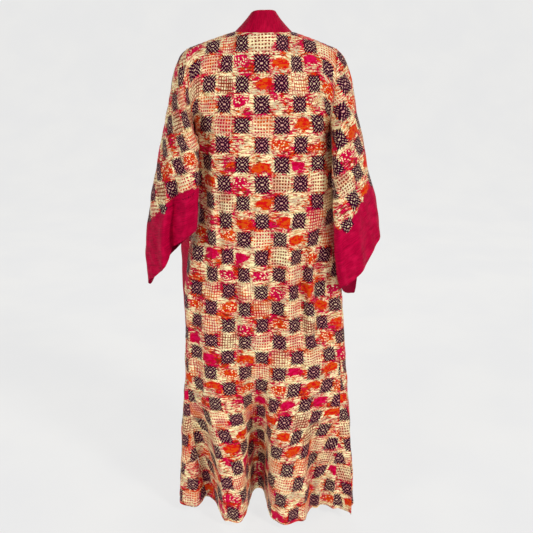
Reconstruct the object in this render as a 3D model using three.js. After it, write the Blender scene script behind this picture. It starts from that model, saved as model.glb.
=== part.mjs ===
// A long open kimono robe of printed silk, filled out as if worn, with nobody in it.
// Millimetres, +Z up. The origin is at the nape, where the neck and shoulders carry the robe.
// The back of the robe faces -Y, the open front faces +Y, and the wearer's right is at +X.
// Every piece is a thin wall of cloth, worked out from the sizes and the short tables below.
import * as THREE from 'three';

// Cloth
const cloth = 1.6;
const seamGap = 0.3;

// Body
const bodyLength = 1402;
const shoulderHalf = 190;
const shoulderDrop = 42;
const armholeDepth = 190;
const armholeHalfDepth = 78;
const underarmDown = shoulderDrop + armholeDepth;
const neckHalfWidth = 71;
const neckAside = 4;
const napeBack = 76;
const neckSideForward = 4;
const shoulderFraction = 0.29;
const easings = 5;

// Band, which is collar and front edges in one strip
const bandWidth = 55;
// The collar's top leans a little to one side.
const bandSway = 0.06;

// Grid of each wall, across and down
const backGrid = { across: 34, down: 30 };
const frontGrid = { across: 18, down: 30 };
const sleeveGrid = { along: 14 };
const bandGrid = { neckSteps: 14, across: 2 };
// Rows of a panel along its armhole. A sleeve has as many points over each half of its ring.
const armholeRows = 10;

// One row for each level of the body, from the underarm to the hem.
// left and right are the widest points, leftY and rightY how far forward these lie,
// back is the centre back, seamLeft and seamRight say where the side seams cross the back
// curve, from 0 at its left end to 1 at its right end.
const bodyLevels = [
  { down: 232, left: -176, right: 176, leftY: 0, rightY: 0, back: -100, seamLeft: 0, seamRight: 1 },
  { down: 270, left: -174, right: 181, leftY: 0, rightY: 0, back: -102, seamLeft: 0, seamRight: 1 },
  { down: 370, left: -169, right: 191, leftY: 0, rightY: 0, back: -102, seamLeft: 0, seamRight: 1 },
  { down: 480, left: -174, right: 197, leftY: 4, rightY: 2, back: -100, seamLeft: 0, seamRight: 1 },
  { down: 580, left: -201, right: 210, leftY: 8, rightY: 2, back: -97, seamLeft: 0, seamRight: 0.99 },
  { down: 690, left: -216, right: 222, leftY: 10, rightY: 0, back: -92, seamLeft: 0.01, seamRight: 0.96 },
  { down: 850, left: -220, right: 235, leftY: 10, rightY: -8, back: -80, seamLeft: 0.03, seamRight: 0.88 },
  { down: 1040, left: -232, right: 252, leftY: 10, rightY: -22, back: -60, seamLeft: 0.13, seamRight: 0.83 },
  { down: 1220, left: -246, right: 262, leftY: 10, rightY: -40, back: -40, seamLeft: 0.22, seamRight: 0.8 },
  { down: 1402, left: -257, right: 268, leftY: 10, rightY: -60, back: -28, seamLeft: 0.29, seamRight: 0.77 },
];

// Where each front panel ends and its band begins. turn is the way the cloth points there,
// in degrees: 0 is straight forward, 90 is towards the middle, and below 0 it swings outward.
const leftEdge = [
  { down: 232, x: -118, y: 98, turn: 74 },
  { down: 290, x: -131, y: 102, turn: 70 },
  { down: 370, x: -158, y: 116, turn: 50 },
  { down: 480, x: -196, y: 130, turn: 14 },
  { down: 580, x: -214, y: 142, turn: -28 },
  { down: 690, x: -220, y: 150, turn: -28 },
  { down: 850, x: -222, y: 156, turn: -24 },
  { down: 1040, x: -225, y: 164, turn: -12 },
  { down: 1220, x: -228, y: 172, turn: 0 },
  { down: 1400, x: -230, y: 180, turn: 8 },
];
const rightEdge = [
  { down: 232, x: 92, y: 99, turn: 79 },
  { down: 290, x: 93, y: 102, turn: 80 },
  { down: 370, x: 95, y: 112, turn: 80 },
  { down: 480, x: 98, y: 126, turn: 80 },
  { down: 690, x: 108, y: 146, turn: 80 },
  { down: 1040, x: 122, y: 166, turn: 78 },
  { down: 1400, x: 138, y: 186, turn: 76 },
];

// One row for each large fold of the back. from and to are the levels where it begins and where
// it is deepest, fromX and toX are its middle there, half is half its width, and out is how
// far it stands out at its deepest, below 0 for a hollow. fades is where it has died away.
const backFolds = [
  { from: 790, to: 1400, fromX: -216, toX: -158, half: 34, out: -52 },
  { from: 860, to: 1400, fromX: -136, toX: -95, half: 53, out: 60 },
  { from: 780, to: 1400, fromX: -18, toX: -14, half: 31, out: -90 },
  { from: 800, to: 1400, fromX: 76, toX: 76, half: 60, out: 68 },
  { from: 930, to: 1400, fromX: 200, toX: 190, half: 20, out: -16 },
  { from: 240, to: 560, fromX: -108, toX: -114, half: 11, out: -6, fades: 900 },
  { from: 420, to: 740, fromX: 26, toX: 30, half: 12, out: -6, fades: 1000 },
  { from: 480, to: 700, fromX: 104, toX: 108, half: 10, out: -6, fades: 900 },
  { from: 520, to: 730, fromX: 150, toX: 158, half: 10, out: -7, fades: 920 },
];

// The folds of the two fronts. at is the place across the panel, 0 at the side and 1 at the band.
const leftFolds = [
  { from: 620, to: 1400, fromAt: 0.62, toAt: 0.6, half: 0.13, out: 16 },
  { from: 560, to: 1400, fromAt: 0.86, toAt: 0.84, half: 0.1, out: -12 },
];
const rightFolds = [
  { from: 760, to: 1400, fromAt: 0.2, toAt: 0.2, half: 0.08, out: -15 },
  { from: 480, to: 1400, fromAt: 0.55, toAt: 0.52, half: 0.09, out: 20 },
  { from: 420, to: 1400, fromAt: 0.78, toAt: 0.74, half: 0.08, out: -18 },
];

const foldSquareness = 4;
// How fast the folds of the back die away next to its sides.
const foldsEndAtSides = 3;

// The hem hangs a little lower where a fold stands out, below this level.
const hemDipPerFold = 0.13;
const hemDipFrom = 900;

// The roundness of the body's back in plan, and of its shoulder line. 1 is an ellipse or a straight line.
const sideRoundness = 0.78;
const backRoundness = 0.8;
const shoulderRoundness = 1.12;

// How far a front runs straight on from the side and from its band, as a share of its reach.
const frontLeaves = 0.42;
const frontArrives = 0.36;

// How fast the armhole's bulge draws to its edge towards the underarm.
const bulgeDrawsIn = 3;

// One row for each ring of a sleeve. Each ring runs from an outer point, on the fold over the arm,
// to an inner point, at the underarm seam, which lies over the body's back. deep is half its depth.
const leftSleeveRings = [
  { at: 0, outX: -190, outDown: 42, outY: 0, inX: -176, inDown: 232, inY: 0, deep: 78 },
  { at: 0.07, outX: -210, outDown: 62, outY: -2, inX: -178, inDown: 249, inY: -28, deep: 72 },
  { at: 0.16, outX: -226, outDown: 102, outY: -4, inX: -169, inDown: 270, inY: -74, deep: 61 },
  { at: 0.35, outX: -252, outDown: 222, outY: -8, inX: -165, inDown: 322, inY: -82, deep: 59 },
  { at: 0.55, outX: -281, outDown: 345, outY: -10, inX: -164, inDown: 380, inY: -86, deep: 56 },
  { at: 0.75, outX: -306, outDown: 462, outY: -10, inX: -166, inDown: 440, inY: -86, deep: 55 },
  { at: 0.9, outX: -321, outDown: 572, outY: -8, inX: -170, inDown: 486, inY: -80, deep: 53 },
  { at: 1, outX: -318, outDown: 672, outY: -5, inX: -174, inDown: 506, inY: -74, deep: 50 },
];
const rightSleeveRings = [
  { at: 0, outX: 190, outDown: 42, outY: 0, inX: 176, inDown: 232, inY: 0, deep: 78 },
  { at: 0.07, outX: 213, outDown: 66, outY: -2, inX: 179, inDown: 254, inY: -24, deep: 73 },
  { at: 0.16, outX: 230, outDown: 112, outY: -4, inX: 180, inDown: 286, inY: -64, deep: 66 },
  { at: 0.35, outX: 252, outDown: 222, outY: -8, inX: 183, inDown: 372, inY: -82, deep: 60 },
  { at: 0.55, outX: 281, outDown: 345, outY: -10, inX: 188, inDown: 462, inY: -86, deep: 57 },
  { at: 0.75, outX: 305, outDown: 430, outY: -10, inX: 195, inDown: 562, inY: -84, deep: 54 },
  { at: 0.9, outX: 317, outDown: 488, outY: -8, inX: 206, inDown: 642, inY: -76, deep: 51 },
  { at: 1, outX: 323, outDown: 528, outY: -5, inX: 213, inDown: 668, inY: -66, deep: 48 },
];

// The open end of a sleeve. rise is how far its edge curves up between its outer and inner points,
// and below 0 it curves down. Each edge has one step, where a fold lets the cloth down: drop is how
// far, and below 0 it is drawn up, around is its place in degrees, run is how many degrees the edge
// takes to reach it, and back how many it takes to return.
const mouths = {
  left: { rise: 4, drop: -28, around: 95, run: -85, back: -16 },
  right: { rise: -18, drop: 78, around: 260, run: 66, back: 22 },
};
// How near to the open end the edge's shape begins, and to the armhole the seam's: higher is nearer.
const mouthNearness = 8;
const seamNearness = 6;

// The folds of a sleeve. around is in degrees from its outer point, over the back of the arm.
const sleeveFolds = [
  { from: 0.3, around: 105, half: 18, out: -9 },
  { from: 0.5, around: 55, half: 15, out: -7 },
  { from: 0.35, around: 230, half: 18, out: -8 },
  { from: 0.55, around: 300, half: 16, out: -7 },
];

// The way the band points from its seam. neck runs from 0 at the nape to 1 at the shoulder seam.
const bandLean = [
  { neck: 0, inward: 0, forward: 0.33, up: 0.94 },
  { neck: 0.4, inward: 0.33, forward: 0.25, up: 0.92 },
  { neck: 0.75, inward: 0.6, forward: 0.3, up: 0.76 },
  { neck: 1, inward: 0.7, forward: 0.35, up: 0.62 },
];
const bandLiesFlatDown = 150;
// The band's seam is wider where it turns over the shoulder.
const bandShoulderGap = 1.5;

const printedSilk = { color: 0xd9a56f, roughness: 0.55, metalness: 0 };
const crimsonSilk = { color: 0xc00f46, roughness: 0.5, metalness: 0 };

// The value of a column at a place in a table, on a smooth curve through the rows.
function column(table, key, where, name) {
  let row = 0;
  while (row < table.length - 2 && where > table[row + 1][key]) row += 1;
  const a = table[row];
  const b = table[row + 1];
  const before = table[Math.max(row - 1, 0)];
  const after = table[Math.min(row + 2, table.length - 1)];
  const span = b[key] - a[key];
  const t = THREE.MathUtils.clamp((where - a[key]) / span, 0, 1);
  const slopeA = ((b[name] - before[name]) / (b[key] - before[key])) * span;
  const slopeB = ((after[name] - a[name]) / (after[key] - a[key])) * span;
  const t2 = t * t;
  const t3 = t2 * t;
  return (
    (2 * t3 - 3 * t2 + 1) * a[name] + (t3 - 2 * t2 + t) * slopeA
    + (3 * t2 - 2 * t3) * b[name] + (t3 - t2) * slopeB
  );
}

function smooth(value) {
  return THREE.MathUtils.smoothstep(value, 0, 1);
}

// How far a fold has grown at a level, from 0 to 1.
function foldGrowth(fold, down) {
  const growth = smooth((down - fold.from) / (fold.to - fold.from));
  if (fold.fades === undefined) return growth;
  return growth * (1 - smooth((down - fold.to) / (fold.fades - fold.to)));
}

// The cross shape of a fold: a flat top and steep sides.
function foldShape(distance, half) {
  return Math.exp(-((Math.abs(distance) / half) ** foldSquareness));
}

// Points of the body's back curve at a level, from its left end to its right end.
function backCurve(down, samples) {
  const at = (name) => column(bodyLevels, 'down', down, name);
  const left = at('left');
  const right = at('right');
  const leftY = at('leftY');
  const rightY = at('rightY');
  const back = at('back');
  const middle = (left + right) / 2;
  const half = (right - left) / 2;
  const points = [];
  for (let i = 0; i <= samples; i += 1) {
    const t = i / samples;
    const c = -Math.cos(Math.PI * t);
    const s = Math.sin(Math.PI * t);
    const x = middle + half * Math.sign(c) * Math.abs(c) ** sideRoundness;
    const side = THREE.MathUtils.lerp(leftY, rightY, t);
    let y = side + (back - side) * s ** backRoundness;
    let out = 0;
    for (const fold of backFolds) {
      const growth = foldGrowth(fold, down);
      const grownX = smooth((down - fold.from) / (fold.to - fold.from));
      const foldX = THREE.MathUtils.lerp(fold.fromX, fold.toX, grownX);
      out += fold.out * growth * foldShape(x - foldX, fold.half);
    }
    y -= out * Math.min(1, s * foldsEndAtSides);
    points.push({ x, y, out, t });
  }
  return points;
}

// Points of a front's curve at a level, from the side to the front edge.
function frontCurve(side, down, samples) {
  const isLeft = side < 0;
  const edges = isLeft ? leftEdge : rightEdge;
  const folds = isLeft ? leftFolds : rightFolds;
  const start = new THREE.Vector2(
    column(bodyLevels, 'down', down, isLeft ? 'left' : 'right'),
    column(bodyLevels, 'down', down, isLeft ? 'leftY' : 'rightY'),
  );
  const end = new THREE.Vector2(column(edges, 'down', down, 'x'), column(edges, 'down', down, 'y'));
  const way = edgeWay(side, down);
  const reach = start.distanceTo(end);
  const leave = start.clone().add(new THREE.Vector2(0, reach * frontLeaves));
  const arrive = end.clone().sub(way.clone().multiplyScalar(reach * frontArrives));
  const curve = new THREE.CubicBezierCurve(start, leave, arrive, end);
  const points = [];
  for (let i = 0; i <= samples; i += 1) {
    const t = i / samples;
    const point = curve.getPoint(t);
    const tangent = curve.getTangent(t);
    let out = 0;
    for (const fold of folds) {
      const growth = foldGrowth(fold, down);
      const at = THREE.MathUtils.lerp(fold.fromAt, fold.toAt, growth);
      out += fold.out * growth * foldShape(t - at, fold.half);
    }
    // The outward side of the tangent, away from the hollow.
    const push = out * -side;
    points.push({ x: point.x - tangent.y * -push, y: point.y + tangent.x * -push, out });
  }
  return points;
}

// The direction in which a front's cloth points at its edge.
function edgeWay(side, down) {
  const edges = side < 0 ? leftEdge : rightEdge;
  const turn = THREE.MathUtils.degToRad(column(edges, 'down', down, 'turn'));
  return new THREE.Vector2(-side * Math.sin(turn), Math.cos(turn));
}

// A run of points cut to even steps, leaving a bare length at each end.
function evenSteps(points, steps, startTrim, endTrim) {
  const lengths = [0];
  for (let i = 1; i < points.length; i += 1) {
    const step = Math.hypot(points[i].x - points[i - 1].x, points[i].y - points[i - 1].y);
    lengths.push(lengths[i - 1] + step);
  }
  const total = lengths[lengths.length - 1] - startTrim - endTrim;
  const result = [];
  let k = 0;
  for (let i = 0; i <= steps; i += 1) {
    const goal = startTrim + (total * i) / steps;
    while (k < points.length - 2 && lengths[k + 1] < goal) k += 1;
    const t = (goal - lengths[k]) / (lengths[k + 1] - lengths[k]);
    result.push({
      x: THREE.MathUtils.lerp(points[k].x, points[k + 1].x, t),
      y: THREE.MathUtils.lerp(points[k].y, points[k + 1].y, t),
      out: THREE.MathUtils.lerp(points[k].out, points[k + 1].out, t),
    });
  }
  return result;
}

const curveSamples = 600;
const frontSamples = 200;

// The whole ring of the body at a level, in one run from the left band to the right band, so
// that the panels meet in one smooth line at the side seams wherever the seams lie.
function ringPanels(down) {
  const back = backCurve(down, curveSamples);
  const left = frontCurve(-1, down, frontSamples).reverse();
  const right = frontCurve(1, down, frontSamples);
  const seamLeft = column(bodyLevels, 'down', down, 'seamLeft');
  const seamRight = column(bodyLevels, 'down', down, 'seamRight');
  const first = Math.round(seamLeft * curveSamples);
  const last = Math.round(seamRight * curveSamples);
  const half = seamGap / 2;
  return {
    back: evenSteps(back.slice(first, last + 1), backGrid.across, half, half),
    left: evenSteps(left.concat(back.slice(1, first + 1)), frontGrid.across, 0, half),
    right: evenSteps(back.slice(last, -1).concat(right), frontGrid.across, half, 0),
  };
}

// The shoulder seam, from the shoulder point at 0 to the side of the neck at 1.
function shoulderSeam(side, t, behind) {
  return new THREE.Vector3(
    side * THREE.MathUtils.lerp(shoulderHalf, neckHalfWidth, t) + neckAside * t,
    THREE.MathUtils.lerp(0, -neckSideForward, t) + (behind ? -1 : 1) * (seamGap / 2),
    -shoulderDrop * (1 - t) ** shoulderRoundness,
  );
}

// The back neckline. t runs from -1 at the left neck point, past 0 at the nape, to 1.
function neckline(t) {
  const angle = (t * Math.PI) / 2;
  return new THREE.Vector3(
    neckAside + neckHalfWidth * Math.sin(angle),
    -neckSideForward - seamGap / 2 - (napeBack - neckSideForward) * Math.cos(angle),
    0,
  );
}

// The top edge of the back: left shoulder seam, neckline, right shoulder seam.
function backTop(u) {
  if (u < shoulderFraction) return shoulderSeam(-1, u / shoulderFraction, true);
  if (u > 1 - shoulderFraction) return shoulderSeam(1, (1 - u) / shoulderFraction, true);
  return neckline((u - 0.5) / (0.5 - shoulderFraction));
}

// Rows of a body panel above the underarm: from its top edge over the shoulder to the first ring,
// with its side along the armhole, which is an oval.
function upperRow(top, ring, behind, row) {
  const angle = (Math.PI * row) / armholeRows;
  const fall = (1 - Math.cos(angle)) / 2;
  const turn = Math.sqrt(1 - (1 - fall) ** 2);
  const full = column(bodyLevels, 'down', underarmDown, 'back');
  const points = top.map((start, i) => {
    const end = ring[i];
    const sideShare = THREE.MathUtils.clamp(1 - Math.abs(end.y / full), 0, 1);
    const nearEdge = sideShare ** (1 + bulgeDrawsIn * fall ** 4);
    const bulge = armholeHalfDepth * Math.sin(angle) * nearEdge * (behind ? -1 : 1);
    return new THREE.Vector3(
      THREE.MathUtils.lerp(start.x, end.x, fall),
      THREE.MathUtils.lerp(start.y, end.y, turn) + bulge,
      THREE.MathUtils.lerp(start.z, -underarmDown, fall),
    );
  });
  for (let pass = 0; pass < easings; pass += 1) easeOnce(points, Math.sin(angle) ** 2);
  return points;
}

// Eases the corner that a run of points has where the neckline meets the shoulder seam.
function easeOnce(points, strength) {
  const before = points.map((point) => point.clone());
  for (let i = 1; i < points.length - 1; i += 1) {
    const mean = before[i - 1].clone().add(before[i + 1]).multiplyScalar(0.5);
    points[i].lerp(mean, strength / 2);
  }
}

// All rows of a body panel, from its top edge to the hem.
function panelRows(name, top, grid) {
  const behind = name === 'back';
  const rows = [];
  const first = ringPanels(underarmDown)[name];
  for (let row = 0; row < armholeRows; row += 1) rows.push(upperRow(top, first, behind, row));
  const below = grid.down - armholeRows;
  for (let row = 0; row <= below; row += 1) {
    const down = THREE.MathUtils.lerp(underarmDown, bodyLength, row / below);
    const hemShare = smooth((down - hemDipFrom) / (bodyLength - hemDipFrom));
    rows.push(ringPanels(down)[name].map((p) => (
      new THREE.Vector3(p.x, p.y, -down - p.out * hemDipPerFold * hemShare)
    )));
  }
  return rows;
}

function backRows() {
  const top = [];
  for (let i = 0; i <= backGrid.across; i += 1) top.push(backTop(i / backGrid.across));
  return panelRows('back', top, backGrid);
}

// The left front runs from its band to its side, and the right front from its side to its band.
function frontRows(side) {
  const top = [];
  for (let i = 0; i <= frontGrid.across; i += 1) {
    const t = i / frontGrid.across;
    top.push(shoulderSeam(side, side < 0 ? 1 - t : t, false));
  }
  return panelRows(side < 0 ? 'left' : 'right', top, frontGrid);
}

// The rings of a sleeve, from the armhole to its open end.
function sleeveRows(side) {
  const table = side < 0 ? leftSleeveRings : rightSleeveRings;
  const rows = [];
  for (let row = 0; row <= sleeveGrid.along; row += 1) {
    const at = row / sleeveGrid.along;
    const value = (name) => column(table, 'at', at, name);
    const outer = new THREE.Vector3(value('outX'), value('outY'), -value('outDown'));
    const inner = new THREE.Vector3(value('inX'), value('inY'), -value('inDown'));
    const middle = outer.clone().add(inner).multiplyScalar(0.5);
    const arm = outer.clone().sub(inner).multiplyScalar(0.5);
    const clear = (1 - at) ** seamNearness;
    const mouth = mouths[side < 0 ? 'left' : 'right'];
    const ring = [];
    for (let i = 0; i < 2 * armholeRows; i += 1) {
      const degrees = (180 * i) / armholeRows;
      const angle = THREE.MathUtils.degToRad(degrees);
      let out = 0;
      for (const fold of sleeveFolds) {
        const growth = smooth((at - fold.from) / (1 - fold.from));
        out += fold.out * growth * foldShape(degrees - fold.around, fold.half);
      }
      const deep = value('deep') + out;
      const under = (1 - Math.cos(angle)) / 2;
      const reached = THREE.MathUtils.clamp(1 - (mouth.around - degrees) / mouth.run, 0, 1);
      const step = mouth.drop * reached * (1 - smooth((degrees - mouth.around) / mouth.back));
      const edge = (mouth.rise * Math.sin(angle) ** 2 - step) * at ** mouthNearness;
      ring.push(new THREE.Vector3(
        middle.x + arm.x * Math.cos(angle) + side * clear * (seamGap + cloth * under),
        middle.y + arm.y * Math.cos(angle) - deep * Math.sin(angle),
        middle.z + arm.z * Math.cos(angle) + edge,
      ));
    }
    rows.push(ring);
  }
  return rows;
}

// The way the band points at a level of a front edge: it stands at the neck and lies flat below.
function bandWayInFront(side, down) {
  const neck = bandLean[bandLean.length - 1];
  const way = edgeWay(side, Math.max(down, underarmDown));
  const flat = smooth(down / bandLiesFlatDown);
  return new THREE.Vector3(
    THREE.MathUtils.lerp(-side * neck.inward, way.x, flat),
    THREE.MathUtils.lerp(neck.forward, way.y, flat),
    THREE.MathUtils.lerp(neck.up, 0, flat),
  ).normalize();
}

// One step of the band, from its seam to its free edge.
function bandStep(seam, way, gap) {
  const step = [];
  for (let i = 0; i <= bandGrid.across; i += 1) {
    const reach = gap + ((bandWidth - gap) * i) / bandGrid.across;
    step.push(seam.clone().addScaledVector(way, reach));
  }
  return step;
}

function bandRows(leftFront, rightFront) {
  const rows = [];
  const frontGap = (down) => (
    THREE.MathUtils.lerp(bandShoulderGap, seamGap, smooth(down / bandLiesFlatDown))
  );
  const frontStep = (side, point) => (
    bandStep(point, bandWayInFront(side, -point.z), frontGap(-point.z))
  );
  const leftSeam = leftFront.map((row) => row[0]);
  const rightSeam = rightFront.map((row) => row[row.length - 1]);
  for (const point of leftSeam.slice().reverse()) rows.push(frontStep(-1, point));
  for (let i = 1; i < bandGrid.neckSteps; i += 1) {
    const t = -1 + (2 * i) / bandGrid.neckSteps;
    const at = (name) => column(bandLean, 'neck', Math.abs(t), name);
    const aside = bandSway * (1 - Math.abs(t)) - Math.sign(t) * at('inward');
    const way = new THREE.Vector3(aside, at('forward'), at('up')).normalize();
    rows.push(bandStep(neckline(t), way, THREE.MathUtils.lerp(seamGap, bandShoulderGap, Math.abs(t))));
  }
  for (const point of rightSeam) rows.push(frontStep(1, point));
  return rows;
}

// The wall's normal at each point of a grid of rows.
function gridNormals(rows, closed) {
  const last = rows.length - 1;
  return rows.map((row, j) => row.map((point, i) => {
    const wide = row.length;
    const left = closed ? row[(i + wide - 1) % wide] : row[Math.max(i - 1, 0)];
    const right = closed ? row[(i + 1) % wide] : row[Math.min(i + 1, wide - 1)];
    const across = right.clone().sub(left);
    const along = rows[Math.min(j + 1, last)][i].clone().sub(rows[Math.max(j - 1, 0)][i]);
    return across.cross(along).normalize();
  }));
}

// Turns two normals, one on each side of a seam, to the same line, so that the walls meet flush.
function sew(a, b) {
  const sign = a.dot(b) < 0 ? -1 : 1;
  const mean = a.clone().addScaledVector(b, sign).normalize();
  a.copy(mean);
  b.copy(mean).multiplyScalar(sign);
}

// Turns the normals along a shoulder seam square to the seam, on both of its sides.
function sewShoulder(panel, from, to) {
  const row = panel.rows[0];
  const along = row[to].clone().sub(row[from]).normalize();
  for (let i = from; i <= to; i += 1) {
    const normal = panel.normals[0][i];
    const upward = new THREE.Vector3(-along.z, 0, along.x).normalize();
    normal.copy(upward.multiplyScalar(normal.dot(upward) < 0 ? -1 : 1));
  }
}

// A wall's grid of points and normals, before it is given its thickness.
function sheet(rows, closed = false) {
  return { rows, closed, normals: gridNormals(rows, closed) };
}

// A closed wall of cloth around a grid of rows.
function clothWall({ rows, normals, closed }, flip) {
  const wide = rows[0].length;
  const tall = rows.length;
  const positions = [];
  for (const side of [0.5, -0.5]) {
    rows.forEach((row, j) => row.forEach((point, i) => {
      const p = point.clone().addScaledVector(normals[j][i], side * cloth);
      positions.push(p.x, p.y, p.z);
    }));
  }
  const index = (layer, j, i) => layer * wide * tall + j * wide + (closed ? i % wide : i);
  const faces = [];
  const triangle = (a, b, c) => (flip ? faces.push(a, c, b) : faces.push(a, b, c));
  const quad = (a, b, c, d) => {
    triangle(a, b, c);
    triangle(a, c, d);
  };
  const cells = closed ? wide : wide - 1;
  for (let j = 0; j < tall - 1; j += 1) {
    for (let i = 0; i < cells; i += 1) {
      quad(index(0, j, i), index(0, j, i + 1), index(0, j + 1, i + 1), index(0, j + 1, i));
      quad(index(1, j, i), index(1, j + 1, i), index(1, j + 1, i + 1), index(1, j, i + 1));
    }
  }
  const end = tall - 1;
  for (let i = 0; i < cells; i += 1) {
    quad(index(0, 0, i), index(1, 0, i), index(1, 0, i + 1), index(0, 0, i + 1));
    quad(index(0, end, i), index(0, end, i + 1), index(1, end, i + 1), index(1, end, i));
  }
  const edge = wide - 1;
  for (let j = 0; j < end && !closed; j += 1) {
    quad(index(0, j, 0), index(0, j + 1, 0), index(1, j + 1, 0), index(1, j, 0));
    quad(index(0, j, edge), index(1, j, edge), index(1, j + 1, edge), index(0, j + 1, edge));
  }
  const geometry = new THREE.BufferGeometry();
  geometry.setAttribute('position', new THREE.Float32BufferAttribute(positions, 3));
  geometry.setIndex(faces);
  geometry.computeVertexNormals();
  return geometry;
}

// The volume that a closed geometry holds, below 0 when its faces point inward.
function signedVolume(geometry) {
  const position = geometry.getAttribute('position');
  const index = geometry.getIndex();
  const a = new THREE.Vector3();
  const b = new THREE.Vector3();
  const c = new THREE.Vector3();
  let volume = 0;
  for (let i = 0; i < index.count; i += 3) {
    a.fromBufferAttribute(position, index.getX(i));
    b.fromBufferAttribute(position, index.getX(i + 1));
    c.fromBufferAttribute(position, index.getX(i + 2));
    volume += a.dot(b.cross(c)) / 6;
  }
  return volume;
}

function clothPiece(name, piece, finish) {
  let geometry = clothWall(piece, false);
  if (signedVolume(geometry) < 0) geometry = clothWall(piece, true);
  const mesh = new THREE.Mesh(geometry, new THREE.MeshStandardMaterial(finish));
  mesh.name = name;
  return mesh;
}

const back = sheet(backRows());
const frontLeft = sheet(frontRows(-1));
const frontRight = sheet(frontRows(1));
const sleeveLeft = sheet(sleeveRows(-1), true);
const sleeveRight = sheet(sleeveRows(1), true);
const band = sheet(bandRows(frontLeft.rows, frontRight.rows));

// The seams: shoulders, sides, armholes, and the band along both fronts.
const shoulderColumns = Math.floor(backGrid.across * shoulderFraction);
sewShoulder(back, 0, shoulderColumns);
sewShoulder(back, backGrid.across - shoulderColumns, backGrid.across);
sewShoulder(frontLeft, 0, frontGrid.across);
sewShoulder(frontRight, 0, frontGrid.across);
const frontEnd = frontGrid.across;
const backEnd = backGrid.across;
for (let row = armholeRows; row <= backGrid.down; row += 1) {
  sew(back.normals[row][0], frontLeft.normals[row][frontEnd]);
  sew(back.normals[row][backEnd], frontRight.normals[row][0]);
}
for (let row = 0; row < armholeRows; row += 1) {
  const frontRing = (2 * armholeRows - row) % (2 * armholeRows);
  sew(back.normals[row][0], sleeveLeft.normals[0][row]);
  sew(back.normals[row][backEnd], sleeveRight.normals[0][row]);
  sew(frontLeft.normals[row][frontEnd], sleeveLeft.normals[0][frontRing]);
  sew(frontRight.normals[row][0], sleeveRight.normals[0][frontRing]);
}
for (let row = 1; row <= frontGrid.down; row += 1) {
  const step = band.normals.length - 1 - (frontGrid.down - row);
  sew(frontLeft.normals[row][0], band.normals[frontGrid.down - row][0]);
  sew(frontRight.normals[row][frontEnd], band.normals[step][0]);
}

const robe = new THREE.Group();
robe.add(
  clothPiece('back', back, printedSilk),
  clothPiece('front_left', frontLeft, printedSilk),
  clothPiece('front_right', frontRight, printedSilk),
  clothPiece('sleeve_left', sleeveLeft, printedSilk),
  clothPiece('sleeve_right', sleeveRight, printedSilk),
  clothPiece('band', band, crimsonSilk),
);

export default robe;
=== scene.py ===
import math
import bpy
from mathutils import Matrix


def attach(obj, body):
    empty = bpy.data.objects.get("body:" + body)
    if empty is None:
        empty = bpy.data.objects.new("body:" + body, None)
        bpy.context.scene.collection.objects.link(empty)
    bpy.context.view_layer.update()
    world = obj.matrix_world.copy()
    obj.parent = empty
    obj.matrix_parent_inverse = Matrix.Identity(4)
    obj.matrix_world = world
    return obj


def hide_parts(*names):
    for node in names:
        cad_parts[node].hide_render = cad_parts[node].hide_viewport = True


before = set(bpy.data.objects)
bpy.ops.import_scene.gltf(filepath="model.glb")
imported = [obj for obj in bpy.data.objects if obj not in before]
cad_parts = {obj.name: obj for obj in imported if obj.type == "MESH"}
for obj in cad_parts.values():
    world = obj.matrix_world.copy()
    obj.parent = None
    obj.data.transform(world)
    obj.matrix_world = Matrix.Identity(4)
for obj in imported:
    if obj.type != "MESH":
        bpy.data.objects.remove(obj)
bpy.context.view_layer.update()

from types import SimpleNamespace

import bpy
import numpy as np
from mathutils import Vector

# A long open kimono robe of printed silk, filled out as if worn. Metres, +Z up, origin at the nape.
# Its back faces -Y. Each piece is a thin shell of cloth on the form of its solid, with finer folds.

# The two sides of the robe, as the sign of x
LEFT = -1
RIGHT = 1

# Cloth
SILK = 0.0008
BAND_CLOTH = 0.00096
SEAM_GAP = 0.0001

# Body, as in the solids
BODY_LENGTH = 1.402
SHOULDER_HALF = 0.190
SHOULDER_DROP = 0.042
ARMHOLE_DEPTH = 0.190
ARMHOLE_HALF_DEPTH = 0.078
UNDERARM_DOWN = SHOULDER_DROP + ARMHOLE_DEPTH
NECK_HALF_WIDTH = 0.071
NECK_ASIDE = 0.004
NAPE_BACK = 0.076
NECK_SIDE_FORWARD = 0.004
SHOULDER_FRACTION = 0.29
BAND_WIDTH = 0.055
BAND_SWAY = 0.06
# At the neck the band's lower edge is tucked this far below its seam.
BAND_TUCK = 0.0012
BAND_LIES_FLAT_DOWN = 0.150

# Grid of each piece, across and down. The upper rows run along the armhole.
ARM_ROWS = 60
LOWER_ROWS = 190
BACK_ACROSS = 150
FRONT_ACROSS = 84
SLEEVE_ALONG = 110
BAND_NECK_STEPS = 60
BAND_ACROSS = 10
CURVE_SAMPLES = 900
FRONT_SAMPLES = 400
# The solids ease the corner at the neck point with this many passes on this many columns.
EASINGS = 5
EASED_COLUMNS = 34

FOLDS_END_AT_SIDES = 3
HEM_DIP_PER_FOLD = 0.13
HEM_DIP_FROM = 0.900
SIDE_ROUNDNESS = 0.78
BACK_ROUNDNESS = 0.8
SHOULDER_ROUNDNESS = 1.12
FRONT_LEAVES = 0.42
FRONT_ARRIVES = 0.36
BULGE_DRAWS_IN = 3
MOUTH_NEARNESS = 8
SEAM_NEARNESS = 6


def table(names, *rows):
    """A table with named columns: each column is an array."""
    columns = np.array(rows, float).T
    return dict(zip(names.split(), columns))


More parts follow.
